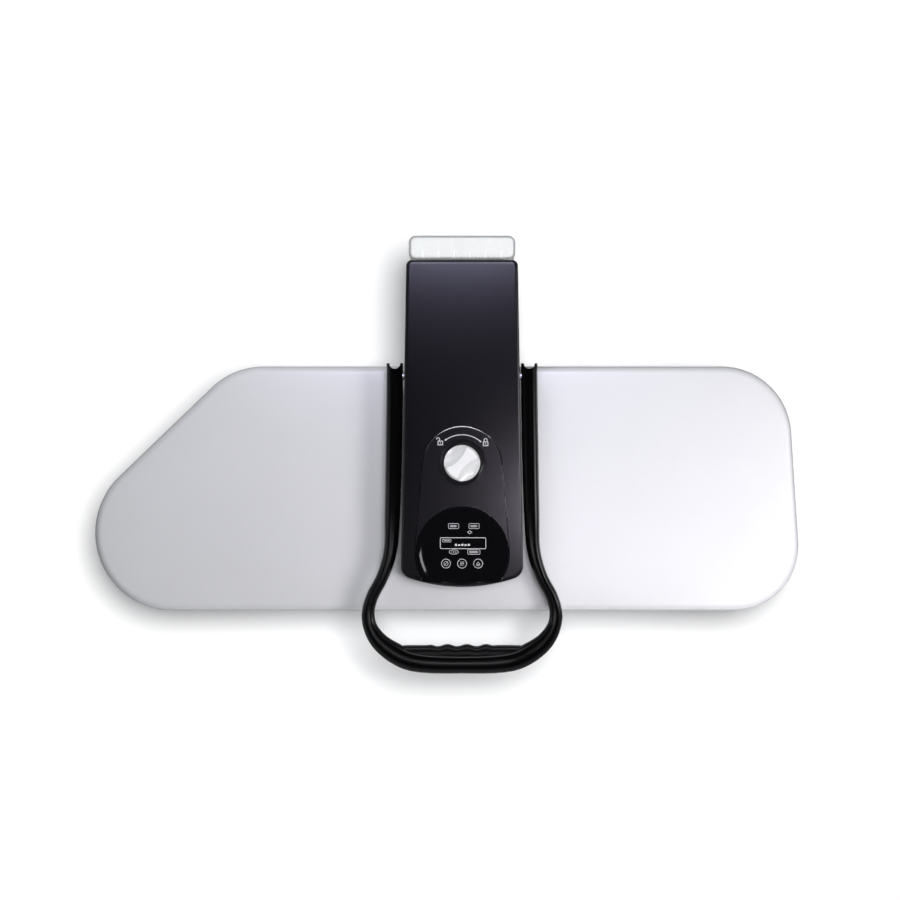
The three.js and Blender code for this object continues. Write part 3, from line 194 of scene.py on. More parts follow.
# shaping helpers
def asObject(bm, name, scale=1.0):
    bmesh.ops.remove_doubles(bm, verts=bm.verts, dist=0.005)
    bmesh.ops.recalc_face_normals(bm, faces=bm.faces)
    bmesh.ops.scale(bm, vec=(scale, scale, scale), verts=bm.verts)
    mesh = bpy.data.meshes.new(name)
    bm.to_mesh(mesh)
    bm.free()
    piece = bpy.data.objects.new(name, mesh)
    bpy.context.scene.collection.objects.link(piece)
    return piece


def finish(name, bm, material, body, replaced=(), smoothAngle=30):
    piece = asObject(bm, name, mm)
    piece.data.materials.append(materials[material])
    shade(piece.data, math.radians(smoothAngle))
    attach(piece, body)
    if replaced:
        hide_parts(*replaced)
    return piece


# smooth shading in which each corner follows the larger faces round it,
# so that flats stay flat beside soft edges
def shade(mesh, smoothAngle):
    mesh.polygons.foreach_set("use_smooth", [True] * len(mesh.polygons))
    mesh.set_sharp_from_angle(angle=smoothAngle)
    limit = math.cos(smoothAngle)
    normals = [face.normal.copy() for face in mesh.polygons]
    weighed = [face.normal * face.area for face in mesh.polygons]
    around = [[] for vertex in mesh.vertices]
    for face in mesh.polygons:
        for corner in face.vertices:
            around[corner].append(face.index)
    shading = []
    for face in mesh.polygons:
        own = normals[face.index]
        for corner in face.vertices:
            near = [weighed[other] for other in around[corner] if normals[other].dot(own) > limit]
            total = sum(near, Vector())
            shading.append(total.normalized() if total.length > 0 else own)
    mesh.normals_split_custom_set(shading)


def vertsOf(geom):
    return [item for item in geom if isinstance(item, bmesh.types.BMVert)]


# a vertex spun into an arc; gives the arc's two ends
def spinArc(bm, centre, start, angle, steps):
    first = bm.verts.new(start)
    made = bmesh.ops.spin(bm, geom=[first], cent=centre, axis=up, angle=angle, steps=steps, use_merge=False,
                          use_duplicate=False)
    return first, vertsOf(made["geom_last"])[0]


# each arc's end is joined to the next arc's start
def joinArcs(bm, ends):
    return [bm.edges.new((ends[i - 1][1], ends[i][0])) for i in range(len(ends))]


# one closed ring of edges: each corner (x, y, radius) is an arc, drawn in by the inset
def addRing(bm, corners, inset, z, steps):
    ends = []
    for i, (x, y, r) in enumerate(corners):
        before, after = corners[i - 1], corners[(i + 1) % len(corners)]
        heading = math.atan2(y - before[1], x - before[0])
        leaving = math.atan2(after[1] - y, after[0] - x)
        bend = (leaving - heading) % (2 * math.pi)
        radius = max(r - inset, 0.5)
        inward = heading + (bend + math.pi) / 2
        reach = (inset + radius) / math.cos(bend / 2)
        centre = Vector((x + reach * math.cos(inward), y + reach * math.sin(inward), z))
        start = centre + radius * Vector((math.sin(heading), -math.cos(heading), 0))
        ends.append(spinArc(bm, centre, start, bend, steps))
    loop = set(joinArcs(bm, ends)[:1])
    queue = [vertex for edge in loop for vertex in edge.verts]
    while queue:
        for edge in queue.pop().link_edges:
            if edge not in loop and not edge.link_faces:
                loop.add(edge)
                queue.extend(edge.verts)
    return list(loop)


# rings bridged one to the next, with both ends closed
def bridgeRings(bm, rings):
    for lower, upper in zip(rings, rings[1:]):
        bmesh.ops.bridge_loops(bm, edges=lower + upper)
    for ring in (rings[0], rings[-1]):
        bmesh.ops.contextual_create(bm, geom=ring)
    return bm


# a stack of layers (inset, z) of one plan
def stack(corners, layers, steps=14):
    bm = bmesh.new()
    return bridgeRings(bm, [addRing(bm, corners, inset, z, steps) for inset, z in layers])


def roundedEdge(inset, top, radius, steps=8):
    angles = [math.pi / 2 * k / steps for k in range(steps + 1)]
    return [(inset + radius * (1 - math.cos(angle)), top - radius * (1 - math.sin(angle)))
            for angle in angles]


def rectangle(x0, x1, y0, y1, r):
    return [(x0, y0, r), (x1, y0, r), (x1, y1, r), (x0, y1, r)]


# cuts or crosses one bmesh with others, and gives the result as a bmesh
def carve(bm, cutters, operation="DIFFERENCE"):
    target = asObject(bm, "target")
    tools = [asObject(cutter, "cutter") for cutter in cutters]
    for tool in tools:
        modifier = target.modifiers.new("carve", "BOOLEAN")
        modifier.operation = operation
        modifier.solver = "EXACT"
        modifier.object = tool
    result = bmesh.new()
    evaluated = target.evaluated_get(bpy.context.evaluated_depsgraph_get())
    result.from_mesh(evaluated.to_mesh())
    evaluated.to_mesh_clear()
    for piece in [target, *tools]:
        bpy.data.objects.remove(piece)
    return result


# a rod along Z, or along the axis that a quarter turn about another axis gives
def rod(centre, radius, depth, segments=64, about=None):
    bm = bmesh.new()
    place = Matrix.Translation(centre)
    if about:
        place = place @ Matrix.Rotation(math.pi / 2, 4, about)
    bmesh.ops.create_cone(bm, cap_ends=True, segments=segments, radius1=radius, radius2=radius, depth=depth,
                          matrix=place)
    return bm


def cylinder(x, y, z0, z1, radius, segments=64):
    return rod((x, y, (z0 + z1) / 2), radius, z1 - z0, segments)


def makeBox(x0, x1, y0, y1, z0, z1):
    bm = bmesh.new()
    place = Matrix.Translation(((x0 + x1) / 2, (y0 + y1) / 2, (z0 + z1) / 2))
    bmesh.ops.create_cube(bm, size=1.0, matrix=place @ Matrix.Diagonal((x1 - x0, y1 - y0, z1 - z0, 1)))
    return bm


# an outline of (radius, z) turned about an upright axis
def turn(outline, x, y, steps=48):
    bm = bmesh.new()
    verts = [bm.verts.new((x + radius, y, z)) for radius, z in outline]
    edges = [bm.edges.new(pair) for pair in zip(verts, verts[1:])]
    bmesh.ops.spin(bm, geom=verts + edges, cent=(x, y, 0), axis=up, angle=2 * math.pi, steps=steps,
                   use_merge=True, use_duplicate=False)
    bmesh.ops.remove_doubles(bm, verts=bm.verts, dist=0.02)
    return bm


def thicken(bm, height):
    raised = bmesh.ops.extrude_face_region(bm, geom=bm.faces[:], use_keep_orig=True)["geom"]
    bmesh.ops.translate(bm, vec=(0, 0, height), verts=vertsOf(raised))
    bmesh.ops.recalc_face_normals(bm, faces=bm.faces)
    return bm


# softens the edges that turn by more than an angle
def soften(bm, offset, segments=3, angle=35.0, chosen=lambda edge: True):
    sharp = [edge for edge in bm.edges if len(edge.link_faces) == 2
             and edge.calc_face_angle(0) > math.radians(angle) and chosen(edge)]
    bmesh.ops.bevel(bm, geom=sharp, offset=offset, offset_type="OFFSET", segments=segments, profile=0.5,
                    affect="EDGES", clamp_overlap=True, material=-1)


def above(z):
    return lambda edge: min(vertex.co.z for vertex in edge.verts) > z


# a section carried along a route: each station is (point, across, width, height)
def sweep(stations, sides, square):
    bm = bmesh.new()
    verts = bmesh.ops.create_circle(bm, cap_ends=False, segments=sides, radius=1.0)["verts"]
    for vertex in verts:
        vertex.co.x = math.copysign(abs(vertex.co.x) ** square, vertex.co.x)
        vertex.co.y = math.copysign(abs(vertex.co.y) ** square, vertex.co.y)
    edges = firstEdges = bm.edges[:]
    placed = Matrix.Identity(4)
    for index, (point, across, width, height) in enumerate(stations):
        turned = Matrix((across, up, across.cross(up))).transposed().to_4x4()
        wanted = Matrix.Translation(point) @ turned @ Matrix.Diagonal((width / 2, height / 2, 1, 1))
        if index > 0:
            made = bmesh.ops.extrude_edge_only(bm, edges=edges)["geom"]
            verts = vertsOf(made)
            edges = [item for item in made if isinstance(item, bmesh.types.BMEdge)
                     and all(vertex in verts for vertex in item.verts)]
        bmesh.ops.transform(bm, matrix=wanted @ placed.inverted(), verts=verts)
        placed = wanted
    for ring in (firstEdges, edges):
        bmesh.ops.contextual_create(bm, geom=ring)
    bmesh.ops.recalc_face_normals(bm, faces=bm.faces)
    return bm


print("helpers ready")

# the plan that head and board share
planSettings = {"noseRadius": 78.0, "frontRadius": 65.0, "rearRadius": 70.0, "shoulderRadius": 74.0,
                "noseAngle": 43.9, "rightLean": 3.66}


def headPlan(noseRadius, frontRadius, rearRadius, shoulderRadius, noseAngle, rightLean):
    depth = headHigh.y - headLow.y
    nose, lean = math.radians(noseAngle), math.radians(rightLean)
    noseX = headLow.x + noseRadius - noseRadius * math.tan((math.pi - nose) / 2)
    frontX = headHigh.x - frontRadius + frontRadius * math.tan((math.pi / 2 + lean) / 2)
    return [
        (noseX, headLow.y, noseRadius),
        (frontX, headLow.y, frontRadius),
        (frontX - depth * math.tan(lean), headHigh.y, rearRadius),
        (noseX + depth / math.tan(nose), headHigh.y, shoulderRadius),
    ]


platePlan = headPlan(**planSettings)

# head cover: a hollow shell with a rounded rim, a thin lip below and a low crown
headSettings = {"wall": 2.0, "rounding": 7.0, "crown": 1.2, "crownInset": 60.0, "shoulder": 14.0,
                "shoulderRise": 0.6, "lip": 0.4, "lipInset": 1.6}


def makeHead(wall, rounding, crown, crownInset, shoulder, shoulderRise, lip, lipInset):
    flat = headHigh.z - crown
    layers = roundedEdge(wall, flat - wall, rounding - wall, 6)[::-1]
    layers += [(wall, headLow.z), (lipInset, headLow.z), (lip, headLow.z), (0.0, headLow.z + lip)]
    layers += roundedEdge(0.0, flat, rounding, 10)
    layers += [(rounding + shoulder, flat + crown * shoulderRise), (crownInset, headHigh.z)]
    cover = stack(platePlan, layers, 26)
    finish("headCover", cover, "silverCover", "head", ["head_cover"], 40)


makeHead(**headSettings)
print("head cover made")

# board: a felt pad under a fitted cloth cover
padSettings = {"inset": 9.7, "foot": 1.2, "side": 3.0, "rounding": 7.0, "sink": 0.5}
# the hem's points are (inward, above the cover's lowest edge)
coverSettings = {
    "inset": 3.0, "wall": 1.3, "rounding": 10.0, "crown": 0.8, "shoulder": 22.0, "shoulderDrop": 0.4,
    "crownInset": 55.0,
    "hem": [(0.3, 3.5), (2.0, 1.9), (10.0, 2.2), (20.0, 2.6), (21.2, 1.17), (20.0, 0.6), (10.0, 0.2),
            (2.0, 0.1), (-0.78, 1.0), (-1.3, 3.4)],
    "insideRows": (100, 93, 87), "outsideRows": (87, 91, 95, 99), "allowance": 45.0,
}
# the finer gathers are (share, pitch, shift) of the main ones
gatherSettings = {"puckers": 74, "pucker": 0.44, "puckerHigh": 14.0, "finer": (0.4, 0.61, 1.1),
                  "slack": 0.0875, "slackHigh": 22.0, "slackWaves": (9, 17), "slackShift": 0.7,
                  "slender": 2.4}
padLow, padHigh = boxOf("board_pad")


def makePad(inset, foot, side, rounding, sink):
    pad = stack(platePlan, [
        (inset + foot, padLow.z + clear), (inset, padLow.z + side), (inset, padHigh.z - rounding - 1),
        *roundedEdge(inset, padHigh.z - sink, rounding, 6),
    ])
    padPiece = finish("boardPad", pad, "padFelt", "stand", ["board_pad"], 60)
    return padPiece


def makeCover(padPiece, inset, wall, rounding, crown, shoulder, shoulderDrop, crownInset, hem, insideRows,
              outsideRows, allowance):
    low, high = boxOf("board_cover")
    inner = inset + wall
    layers = roundedEdge(inner, padHigh.z, rounding - wall, 7)[::-1]
    layers += [(inner, z) for z in insideRows] + [(inner + inward, low.z + rise) for inward, rise in hem]
    layers += [(inset, z) for z in outsideRows] + roundedEdge(inset, high.z - crown, rounding, 9)
    layers += [(rounding + shoulder, high.z - crown * shoulderDrop), (crownInset, high.z)]
    cover = stack(platePlan, layers, 30)
    bmesh.ops.remove_doubles(cover, verts=cover.verts, dist=0.005)
    pullHem(cover, low.z, **gatherSettings)
    piece = finish("boardCover", cover, "coverCloth", "stand", ["board_cover"], 70)


# small gathers round the hem and faint slack waves on the side of the cover
def pullHem(bm, floor, puckers, pucker, puckerHigh, finer, slack, slackHigh, slackWaves, slackShift,
            slender):
    share, pitch, shift = finer
    middle = (headLow + headHigh) / 2
    for vertex in bm.verts:
        height = vertex.co.z - floor
        out = Vector((vertex.co.x - middle.x, vertex.co.y - middle.y, 0))
        around = math.atan2(out.y * slender, out.x)
        reach = max(0.0, 1 - height / puckerHigh)
        gather = math.sin(around * puckers) + share * math.sin(around * puckers * pitch + shift)
        if 0 < height < slackHigh:
            wave = math.sin(around * slackWaves[0] + slackShift) + math.sin(around * slackWaves[1])
            vertex.co -= out.normalized() * pucker * reach * (1 + gather)
            vertex.co -= out.normalized() * slack * (2 + wave) * math.sin(math.pi * height / slackHigh)


makeCover(makePad(**padSettings), **coverSettings)
print("board cover and pad made")

# base: one tapered moulding with a tail under the column, and a seam line low round it
baseSettings = {
    "left": -200.0, "right": 225.0, "front": -128.0, "rear": 62.0, "corner": 35.0, "tailHalf": 50.0,
    "tailCorner": 18.0, "tailTop": 76.0, "tailLap": 40.0, "draft": 7.0, "edge": 6.0, "wall": 3.0,
    "overrun": 5.0, "seam": 0.8, "seamZ": 5.0, "seamWide": 1.6, "lead": 0.3, "underSeam": 0.2,
    "overSeam": 0.25, "inletZ": 31.0, "inletRadius": 7.3, "inletDeep": 40.0,
}


def makeBase(left, right, front, rear, corner, tailHalf, tailCorner, tailTop, tailLap, draft, edge, wall,
             overrun, seam, seamZ, seamWide, lead, underSeam, overSeam, inletZ, inletRadius, inletDeep):
    low, high = boxOf("base_housing")
    main = rectangle(left, right, front, rear, corner)
    tail = rectangle(armX - tailHalf, armX + tailHalf, rear - tailLap, high.y, tailCorner)
    line, deep = low.z + seamZ, underSeam + seam
    outside = [(0.0, low.z), (underSeam, line), (deep, line + lead), (deep, line + seamWide - lead),
               (overSeam, line + seamWide)]

    def block(corners, top, inset, lower):
        return stack(corners, lower + roundedEdge(inset + draft, top - inset, edge, 6))

    shell = carve(block(main, high.z, 0, outside), [block(tail, tailTop, 0, outside)], "UNION")
    inside = [(wall, low.z - overrun)]
    hollow = [block(main, high.z, wall, inside), block(tail, tailTop, wall, inside)]
    hole = rod((armX, high.y, inletZ), inletRadius, inletDeep, 48, "X")
    shell = carve(shell, [*hollow, hole])
    finish("baseHousing", shell, "whiteShell", "stand", ["base_housing"])


makeBase(**baseSettings)
print("base made")

# feet: turned rubber with a soft lip, a step over it and a screw hollow; lip points are (inward, up)
footSettings = {"radius": 14.0, "topRadius": 11.0, "hollow": 4.5, "depth": 3.0, "edge": 0.4,
                "lip": [(2.2, 0.0), (0.6, 0.7), (0.0, 2.2), (0.5, 3.4), (1.1, 3.6), (1.0, 4.4)]}


def makeFoot(node, radius, topRadius, hollow, depth, edge, lip):
    low, high = boxOf(node)
    outline = [(hub, depth), (hollow, depth), (hollow, edge), (hollow + edge, 0)]
    outline += [(radius - inward, rise) for inward, rise in lip] + [(topRadius, high.z), (hub, high.z)]
    foot = turn(outline, (low.x + high.x) / 2, (low.y + high.y) / 2, 40)
    finish(node.replace("_", "") + "Rubber", foot, "rubber", "stand", [node], 40)


for footNode in [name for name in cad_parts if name.startswith("foot_")]:
    makeFoot(footNode, **footSettings)
print("feet made")

# console: a tilted black cover with rounded edges, open under the panel and at the tank
consoleSettings = {
    "rearHalf": 55.5, "rear": 194.0, "rearCorner": 6.0, "frontHalf": 61.0, "front": -120.0,
    "frontCorner": 13.0, "nose": -140.0, "noseRadius": 165.0, "topFront": 200.0, "topRear": 210.0,
    "wall": 2.5, "rounding": 3.2, "shaft": 4.0, "pivot": 4.6, "pivotWide": 200.0, "mouthDeep": 8.0,
    "mouthLow": 140.0, "mouthHigh": 205.7, "overrun": 5.0,
    "seamEdge": 0.35, "seamLow": 191.7, "seamRear": 40.0, "seamHalf": 50.0,
}
islandSettings = {"smallY": -11.0, "smallRadius": 39.5, "largeY": -98.0, "largeRadius": 47.0, "rise": 0.9,
                  "floor": 190.0, "skirt": 3.0, "edge": 0.65, "seam": 0.55, "stemHole": 2.6,
                  "spindleHole": 4.3, "dish": 23.3}
lensSettings = {"radius": 46.6, "thickness": 2.0, "rise": 1.5, "edge": 0.45, "roll": 16.0, "drop": 1.0,
                "points": 160, "rows": 8}
buttonSettings = {"y": -108.0, "pitch": 16.0, "radius": 5.4, "hole": 5.7, "cap": 2.6, "stem": 2.0,
                  "bevel": 0.3}

consoleSides = [(consoleSettings["rearHalf"], consoleSettings["rear"], consoleSettings["rearCorner"]),
                (consoleSettings["frontHalf"], consoleSettings["front"], consoleSettings["frontCorner"])]
consolePlan = [
    *[(armX - half, y, corner) for half, y, corner in consoleSides],
    (armX, consoleSettings["nose"], consoleSettings["noseRadius"]),
    *[(armX + half, y, corner) for half, y, corner in reversed(consoleSides)],
]
consoleSlope = (consoleSettings["topRear"] - consoleSettings["topFront"]) / (
    consoleSettings["rear"] - consoleSettings["nose"])
shaftLow, shaftHigh = boxOf("handle_shaft")
shaftMiddle = (shaftLow + shaftHigh) / 2
shaftY = shaftHigh.y - consoleSettings["shaft"]      # its lug makes the box longer to the front


def consoleTop(y):
    return consoleSettings["topFront"] + consoleSlope * (y - consoleSettings["nose"])


def buttonX(i):
    return armX + (i - 1) * buttonSettings["pitch"]


def buttonHoles(radius, segments):
    return [cylinder(buttonX(i), buttonSettings["y"], cutLow, cutHigh, radius, segments) for i in range(3)]


def consoleBody(inset, rise, bottom):
    rounding = max(consoleSettings["rounding"] - inset, 0.6)
    high = consoleSettings["topFront"] + rise
    bm = stack(consolePlan, [(inset, bottom), *roundedEdge(inset, high, rounding, 8)], 18)
    for vertex in bm.verts:
        if vertex.co.z > high - rounding - 0.01:
            vertex.co.z += consoleSlope * (vertex.co.y - consoleSettings["nose"])
    return bm


# the raised panel runs round a small circle behind and a large one in front
def islandPrism(grow):
    small, large = islandSettings["smallRadius"] + grow, islandSettings["largeRadius"] + grow
    tilt = math.asin((large - small) / (islandSettings["smallY"] - islandSettings["largeY"]))
    bm = bmesh.new()
    ends = []
    arcs = ((islandSettings["smallY"], small, tilt, math.pi - 2 * tilt),
            (islandSettings["largeY"], large, math.pi - tilt, math.pi + 2 * tilt))
    for centreY, radius, start, angle in arcs:
        centre = Vector((armX, centreY, islandSettings["floor"]))
        first = centre + radius * Vector((math.cos(start), math.sin(start), 0))
        ends.append(spinArc(bm, centre, first, angle, 60))
    joinArcs(bm, ends)
    bmesh.ops.contextual_create(bm, geom=bm.edges[:])
    return thicken(bm, cutHigh - islandSettings["floor"])


def makeConsole(settings):
    low = boxOf("console_cover")[0]
    tankLow, tankHigh = boxOf("water_tank")
    cover = carve(consoleBody(0, 0, low.z), [
        consoleBody(settings["wall"], -settings["wall"], low.z - settings["overrun"]),
        islandPrism(islandSettings["seam"]),
        rod((armX, shaftY, shaftMiddle.z), settings["pivot"], settings["pivotWide"], 40, "Y"),
        makeBox(tankLow.x + clear, tankHigh.x - clear, settings["rear"] - settings["mouthDeep"],
                settings["rear"] + settings["overrun"], settings["mouthLow"], settings["mouthHigh"]),
    ])

    def besidePanel(edge):
        middle = (edge.verts[0].co + edge.verts[1].co) / 2
        return (middle.z > settings["seamLow"] and middle.y < settings["seamRear"]
                and abs(middle.x - armX) < settings["seamHalf"])

    soften(cover, settings["seamEdge"], 2, 45, besidePanel)
    finish("consoleCover", cover, "blackShell", "arm", ["console_cover"])


makeConsole(consoleSettings)
print("console cover made")


def makeIsland(settings):
    dishFloor = boxOf("knob_ring")[0].z - clear
    screenLow, screenHigh = boxOf("display_module")
    lensSeat = consoleTop(settings["largeY"]) - lensSettings["thickness"]
    panel = carve(islandPrism(0), [consoleBody(0, settings["rise"], settings["floor"] - 5)], "INTERSECT")
    panel = carve(panel, [
        consoleBody(settings["skirt"], -settings["skirt"], settings["floor"] - 10),
        cylinder(armX, settings["largeY"], lensSeat, cutHigh, lensSettings["radius"] + clear, 128),
        cylinder(armX, knobY, cutLow, cutHigh, settings["spindleHole"], 32),
        cylinder(armX, knobY, dishFloor, cutHigh, settings["dish"], 96),
        makeBox(screenLow.x - clear, screenHigh.x + clear, screenLow.y - clear, screenHigh.y + clear,
                cutLow, cutHigh),
        *buttonHoles(settings["stemHole"], 32),
    ])
    soften(panel, settings["edge"], 3, 40, above(dishFloor + clear))
    finish("controlIsland", panel, "panelBlack", "arm", ["control_island"])


# the lens is a disc that the console's nose cuts off, and it rolls down towards its rim all round
def makeLens(radius, thickness, rise, edge, roll, drop, points, rows):
    centreY, noseRadius = islandSettings["largeY"], consoleSettings["noseRadius"]
    toNose = consoleSettings["nose"] + noseRadius - centreY
    seat = consoleTop(centreY) - thickness + clear
    high = consoleTop(centreY) + rise
    outline = []
    for k in range(points):
        angle = 2 * math.pi * k / points
        middle = math.sin(angle) * toNose
        reach = middle + math.sqrt(middle ** 2 - toNose ** 2 + noseRadius ** 2)
        outline.append(Vector((math.cos(angle), math.sin(angle))) * min(radius, reach + 1))
    levels = [(1.0, seat, 0.0)]
    for k in range(rows + 1):
        share = k / rows
        levels.append((1 - roll * share / radius, high - drop * (1 - share) ** 3, consoleSlope))
    glass = bmesh.new()
    rings = []
    for size, z, slope in levels:
        verts = [glass.verts.new((armX + p.x * size, centreY + p.y * size, z + slope * p.y * size))
                 for p in outline]
        rings.append([glass.edges.new((verts[k - 1], vertex)) for k, vertex in enumerate(verts)])
    glass = carve(bridgeRings(glass, rings), [consoleBody(0, rise, cutLow)], "INTERSECT")
    glass = carve(glass, buttonHoles(buttonSettings["hole"], 48))
    soften(glass, edge, 3, 40, above(seat + 0.4))
    finish("panelLens", glass, "lensBlack", "arm", ["panel_lens"])


makeIsland(islandSettings)
makeLens(**lensSettings)
print("control panel made")


# push buttons: flat caps with a soft edge, on stems
def makeButton(node, x, settings):
    low, high = boxOf(node)
    radius, stem, bevel = settings["radius"], settings["stem"], settings["bevel"]
    under, edge = high.z - settings["cap"], radius - bevel
    outline = [(hub, low.z), (stem, low.z), (stem, under), (edge, under), (radius, under + bevel),
               (radius, high.z - bevel), (radius - bevel / 3, high.z - bevel / 3), (edge, high.z),
               (hub, high.z)]
    cap = turn(outline, x, settings["y"])
    finish(node.replace("_", "") + "Cap", cap, "lensBlack", node, [node], 40)


buttonNodes = ["button_left", "button_middle", "button_right"]
for index, node in enumerate(buttonNodes):
    makeButton(node, buttonX(index), buttonSettings)
print("buttons made")

# lock knob: a turned disc with a diametral grip between two hollows; crown points are (inward, below the top)
knobSettings = {
    "radius": 18.0, "edge": 0.5, "base": 0.3, "crown": [(0.0, 3.4), (0.35, 2.6), (1.2, 0.9), (2.0, 0.0)],
    "grip": 8.6, "reach": 0.62, "stretch": 1.05, "hollowZ": 13.0, "turned": 45.0,
}
ringSettings = {"radius": 23.0, "gap": 0.5, "edge": 0.4,
                "crown": [(0.0, 0.7), (0.4, 0.1), (1.0, 0.0), (1.6, 0.1)]}


def makeKnob(radius, edge, base, crown, grip, reach, stretch, hollowZ, turned):
    outline = [(hub, knobLow.z), (radius - base, knobLow.z), (radius, knobLow.z + base)]
    outline += [(radius - inward, knobHigh.z - drop) for inward, drop in crown] + [(hub, knobHigh.z)]
    place = Matrix.Translation((armX, knobY, knobLow.z)) @ Matrix.Rotation(math.radians(turned), 4, "Z")
    hollows = []
    for way in (-1, 1):
        hollow = bmesh.new()
        bmesh.ops.create_uvsphere(hollow, u_segments=64, v_segments=40, radius=radius)
        bmesh.ops.scale(hollow, vec=(stretch, reach, reach), verts=hollow.verts)
        bmesh.ops.translate(hollow, vec=(0, way * (grip / 2 + radius * reach), hollowZ), verts=hollow.verts)
        bmesh.ops.transform(hollow, matrix=place, verts=hollow.verts)
        hollows.append(hollow)
    knob = carve(turn(outline, armX, knobY, 96), hollows)
    soften(knob, edge, 3, 38, above(knobLow.z + 1))
    finish("lockKnob", knob, "knobSilver", "knob", ["lock_knob"], 35)


def makeRing(radius, gap, edge, crown):
    low, high = boxOf("knob_ring")
    inside = knobSettings["radius"] + gap
    outline = [(inside, low.z), (radius - edge, low.z), (radius, low.z + edge)]
    outline += [(radius - inward, high.z - drop) for inward, drop in crown]
    outline += [(inside, low.z + gap), (inside, low.z)]
    finish("knobRing", turn(outline, armX, knobY, 96), "panelBlack", "arm", ["knob_ring"], 40)


makeKnob(**knobSettings)
makeRing(**ringSettings)
print("knob made")

# handle: one bent loop with a flatter front bar, and the waved grip inside the bar;
# route points are (beyond the half width, y, z, width, height)
handleSettings = {
    "pivotZ": 184.0, "armHalf": 67.0, "steps": 132, "sides": 32, "square": 0.74, "notch": 5.5, "notchY": 91.5,
    "notchDeep": 70.0, "edge": 0.9, "softRear": 84.0, "bore": 4.2,
    "route": [
        (0.0, 91.5, 0.0, 16.5, 15.0), (0.0, 79.0, 0.0, 16.5, 15.0), (1.0, 5.0, 0.0, 16.5, 15.0),
        (2.5, -60.0, 0.0, 15.5, 15.0), (4.0, -92.0, -1.0, 13.6, 14.0), (7.5, -108.0, -2.2, 12.8, 14.0),
        (13.5, -124.0, -3.6, 12.4, 14.0), (22.5, -141.0, -5.2, 12.4, 14.0), (26.6, -156.0, -6.4, 12.6, 14.0),
        (25.2, -170.0, -7.4, 13.8, 15.0), (16.5, -185.1, -8.2, 17.6, 16.5), (1.9, -196.75, -8.8, 20.8, 18.0),
        (-17.0, -205.15, -9.0, 21.6, 20.0),
    ],
    "bar": (-208.05, -9.0, 20.2, 20.0),
}
gripSettings = {"half": 71.0, "depth": 10.7, "root": 5.0, "wave": 1.1, "waveHalf": 31.0, "waveEnd": 4.0,
                "pitch": 19.3, "tall": 17.0, "tipTall": 0.7, "blunt": 16, "tip": 0.05, "steps": 96,
                 "sides": 28, "square": 0.8, "sink": 0.2}


def handleSweep(settings, grow=0.0):
    half = [(settings["armHalf"] + x, *rest) for x, *rest in settings["route"]]
    rows = half + [(0.0, *settings["bar"])] + [(-x, *rest) for x, *rest in reversed(half)]
    spans = len(rows) - 1
    points = [Vector(row[:3]) for row in rows]
    stations = []
    for k in range(settings["steps"] + 1):
        share = spans * k / settings["steps"]
        span = min(int(share), spans - 1)
        part = share - span
        here = curvePoint(points, span, part)
        ahead = curvePoint(points, span, min(part + 0.01, 1.0))
        ahead -= curvePoint(points, span, max(part - 0.01, 0.0))
        along = Vector((ahead.x, ahead.y, 0)).normalized()
        wide, tall = [a + (b - a) * part + 2 * grow for a, b in zip(rows[span][3:], rows[span + 1][3:])]
        point = here + Vector((armX, 0, settings["pivotZ"]))
        stations.append((point, Vector((-along.y, along.x, 0)), wide, tall))
    return sweep(stations, settings["sides"], settings["square"])


# a point between two route points, on a centripetal curve through them all
def curvePoint(points, span, part):
    p1, p2 = points[span], points[span + 1]
    p0 = points[span - 1] if span > 0 else p1 * 2 - p2
    p3 = points[span + 2] if span + 2 < len(points) else p2 * 2 - p1
    gaps = [max((b - a).length, 0.01) ** 0.5 for a, b in ((p0, p1), (p1, p2), (p2, p3))]
    t0, t1, t2, t3 = [sum(gaps[:count]) for count in range(4)]
    t = t1 + (t2 - t1) * part

    def between(a, b, start, end):
        return a * ((end - t) / (end - start)) + b * ((t - start) / (end - start))

    a1, a2, a3 = between(p0, p1, t0, t1), between(p1, p2, t1, t2), between(p2, p3, t2, t3)
    return between(between(a1, a2, t0, t2), between(a2, a3, t1, t3), t1, t2)


def makeHandle(settings):
    pivotZ = settings["pivotZ"]
    notches = [rod((armX + way * settings["armHalf"], settings["notchY"], pivotZ), settings["notch"],
                   settings["notchDeep"]) for way in (-1, 1)]
    bore = rod((armX, shaftY, pivotZ), settings["bore"], shaftHigh.x - shaftLow.x + 2 * clear, 40, "Y")
    loop = carve(handleSweep(settings), [*notches, bore])
    soften(loop, settings["edge"], 3, 50, lambda edge: edge.verts[0].co.y > settings["softRear"])
    finish("handleLoop", loop, "glossBlack", "handle", ["handle_loop"], 40)


# the grip stands in the bar, with finger waves along its front
def makeGrip(half, depth, root, wave, waveHalf, waveEnd, pitch, tall, tipTall, blunt, tip, steps, sides,
             square, sink):
    barY, barZ, barWide = handleSettings["bar"][:3]
    seam = barY + barWide / 2
    stations = []
    for k in range(steps + 1):
        share = 2 * k / steps - 1
        x = half * share
        ease = math.sqrt(max(1 - abs(share) ** blunt, tip))
        fade = max(0.0, min(1.0, (waveHalf + waveEnd - abs(x)) / (2 * waveEnd)))
        deep = (depth + wave * fade * math.sin(2 * math.pi * x / pitch)) * ease
        centre = Vector((armX + x, seam - root + deep / 2, handleSettings["pivotZ"] + barZ))
        stations.append((centre, Vector((0, 1, 0)), deep + root, tall * (tipTall + (1 - tipTall) * ease)))
    grip = carve(sweep(stations, sides, square), [handleSweep(handleSettings, sink)])
    finish("handleGrip", grip, "gripBlack", "handle", ["handle_grip"], 50)


makeHandle(handleSettings)
makeGrip(**gripSettings)
print("handle made")

# island rim: a low bead along the panel's rear arc that runs out on both sides
rimSettings = {"start": 22.0, "end": 158.0, "steps": 72, "wide": 1.2, "tall": 1.0, "inset": 0.45,
               "lift": 0.05, "swell": 0.35, "least": 0.12, "sides": 16}


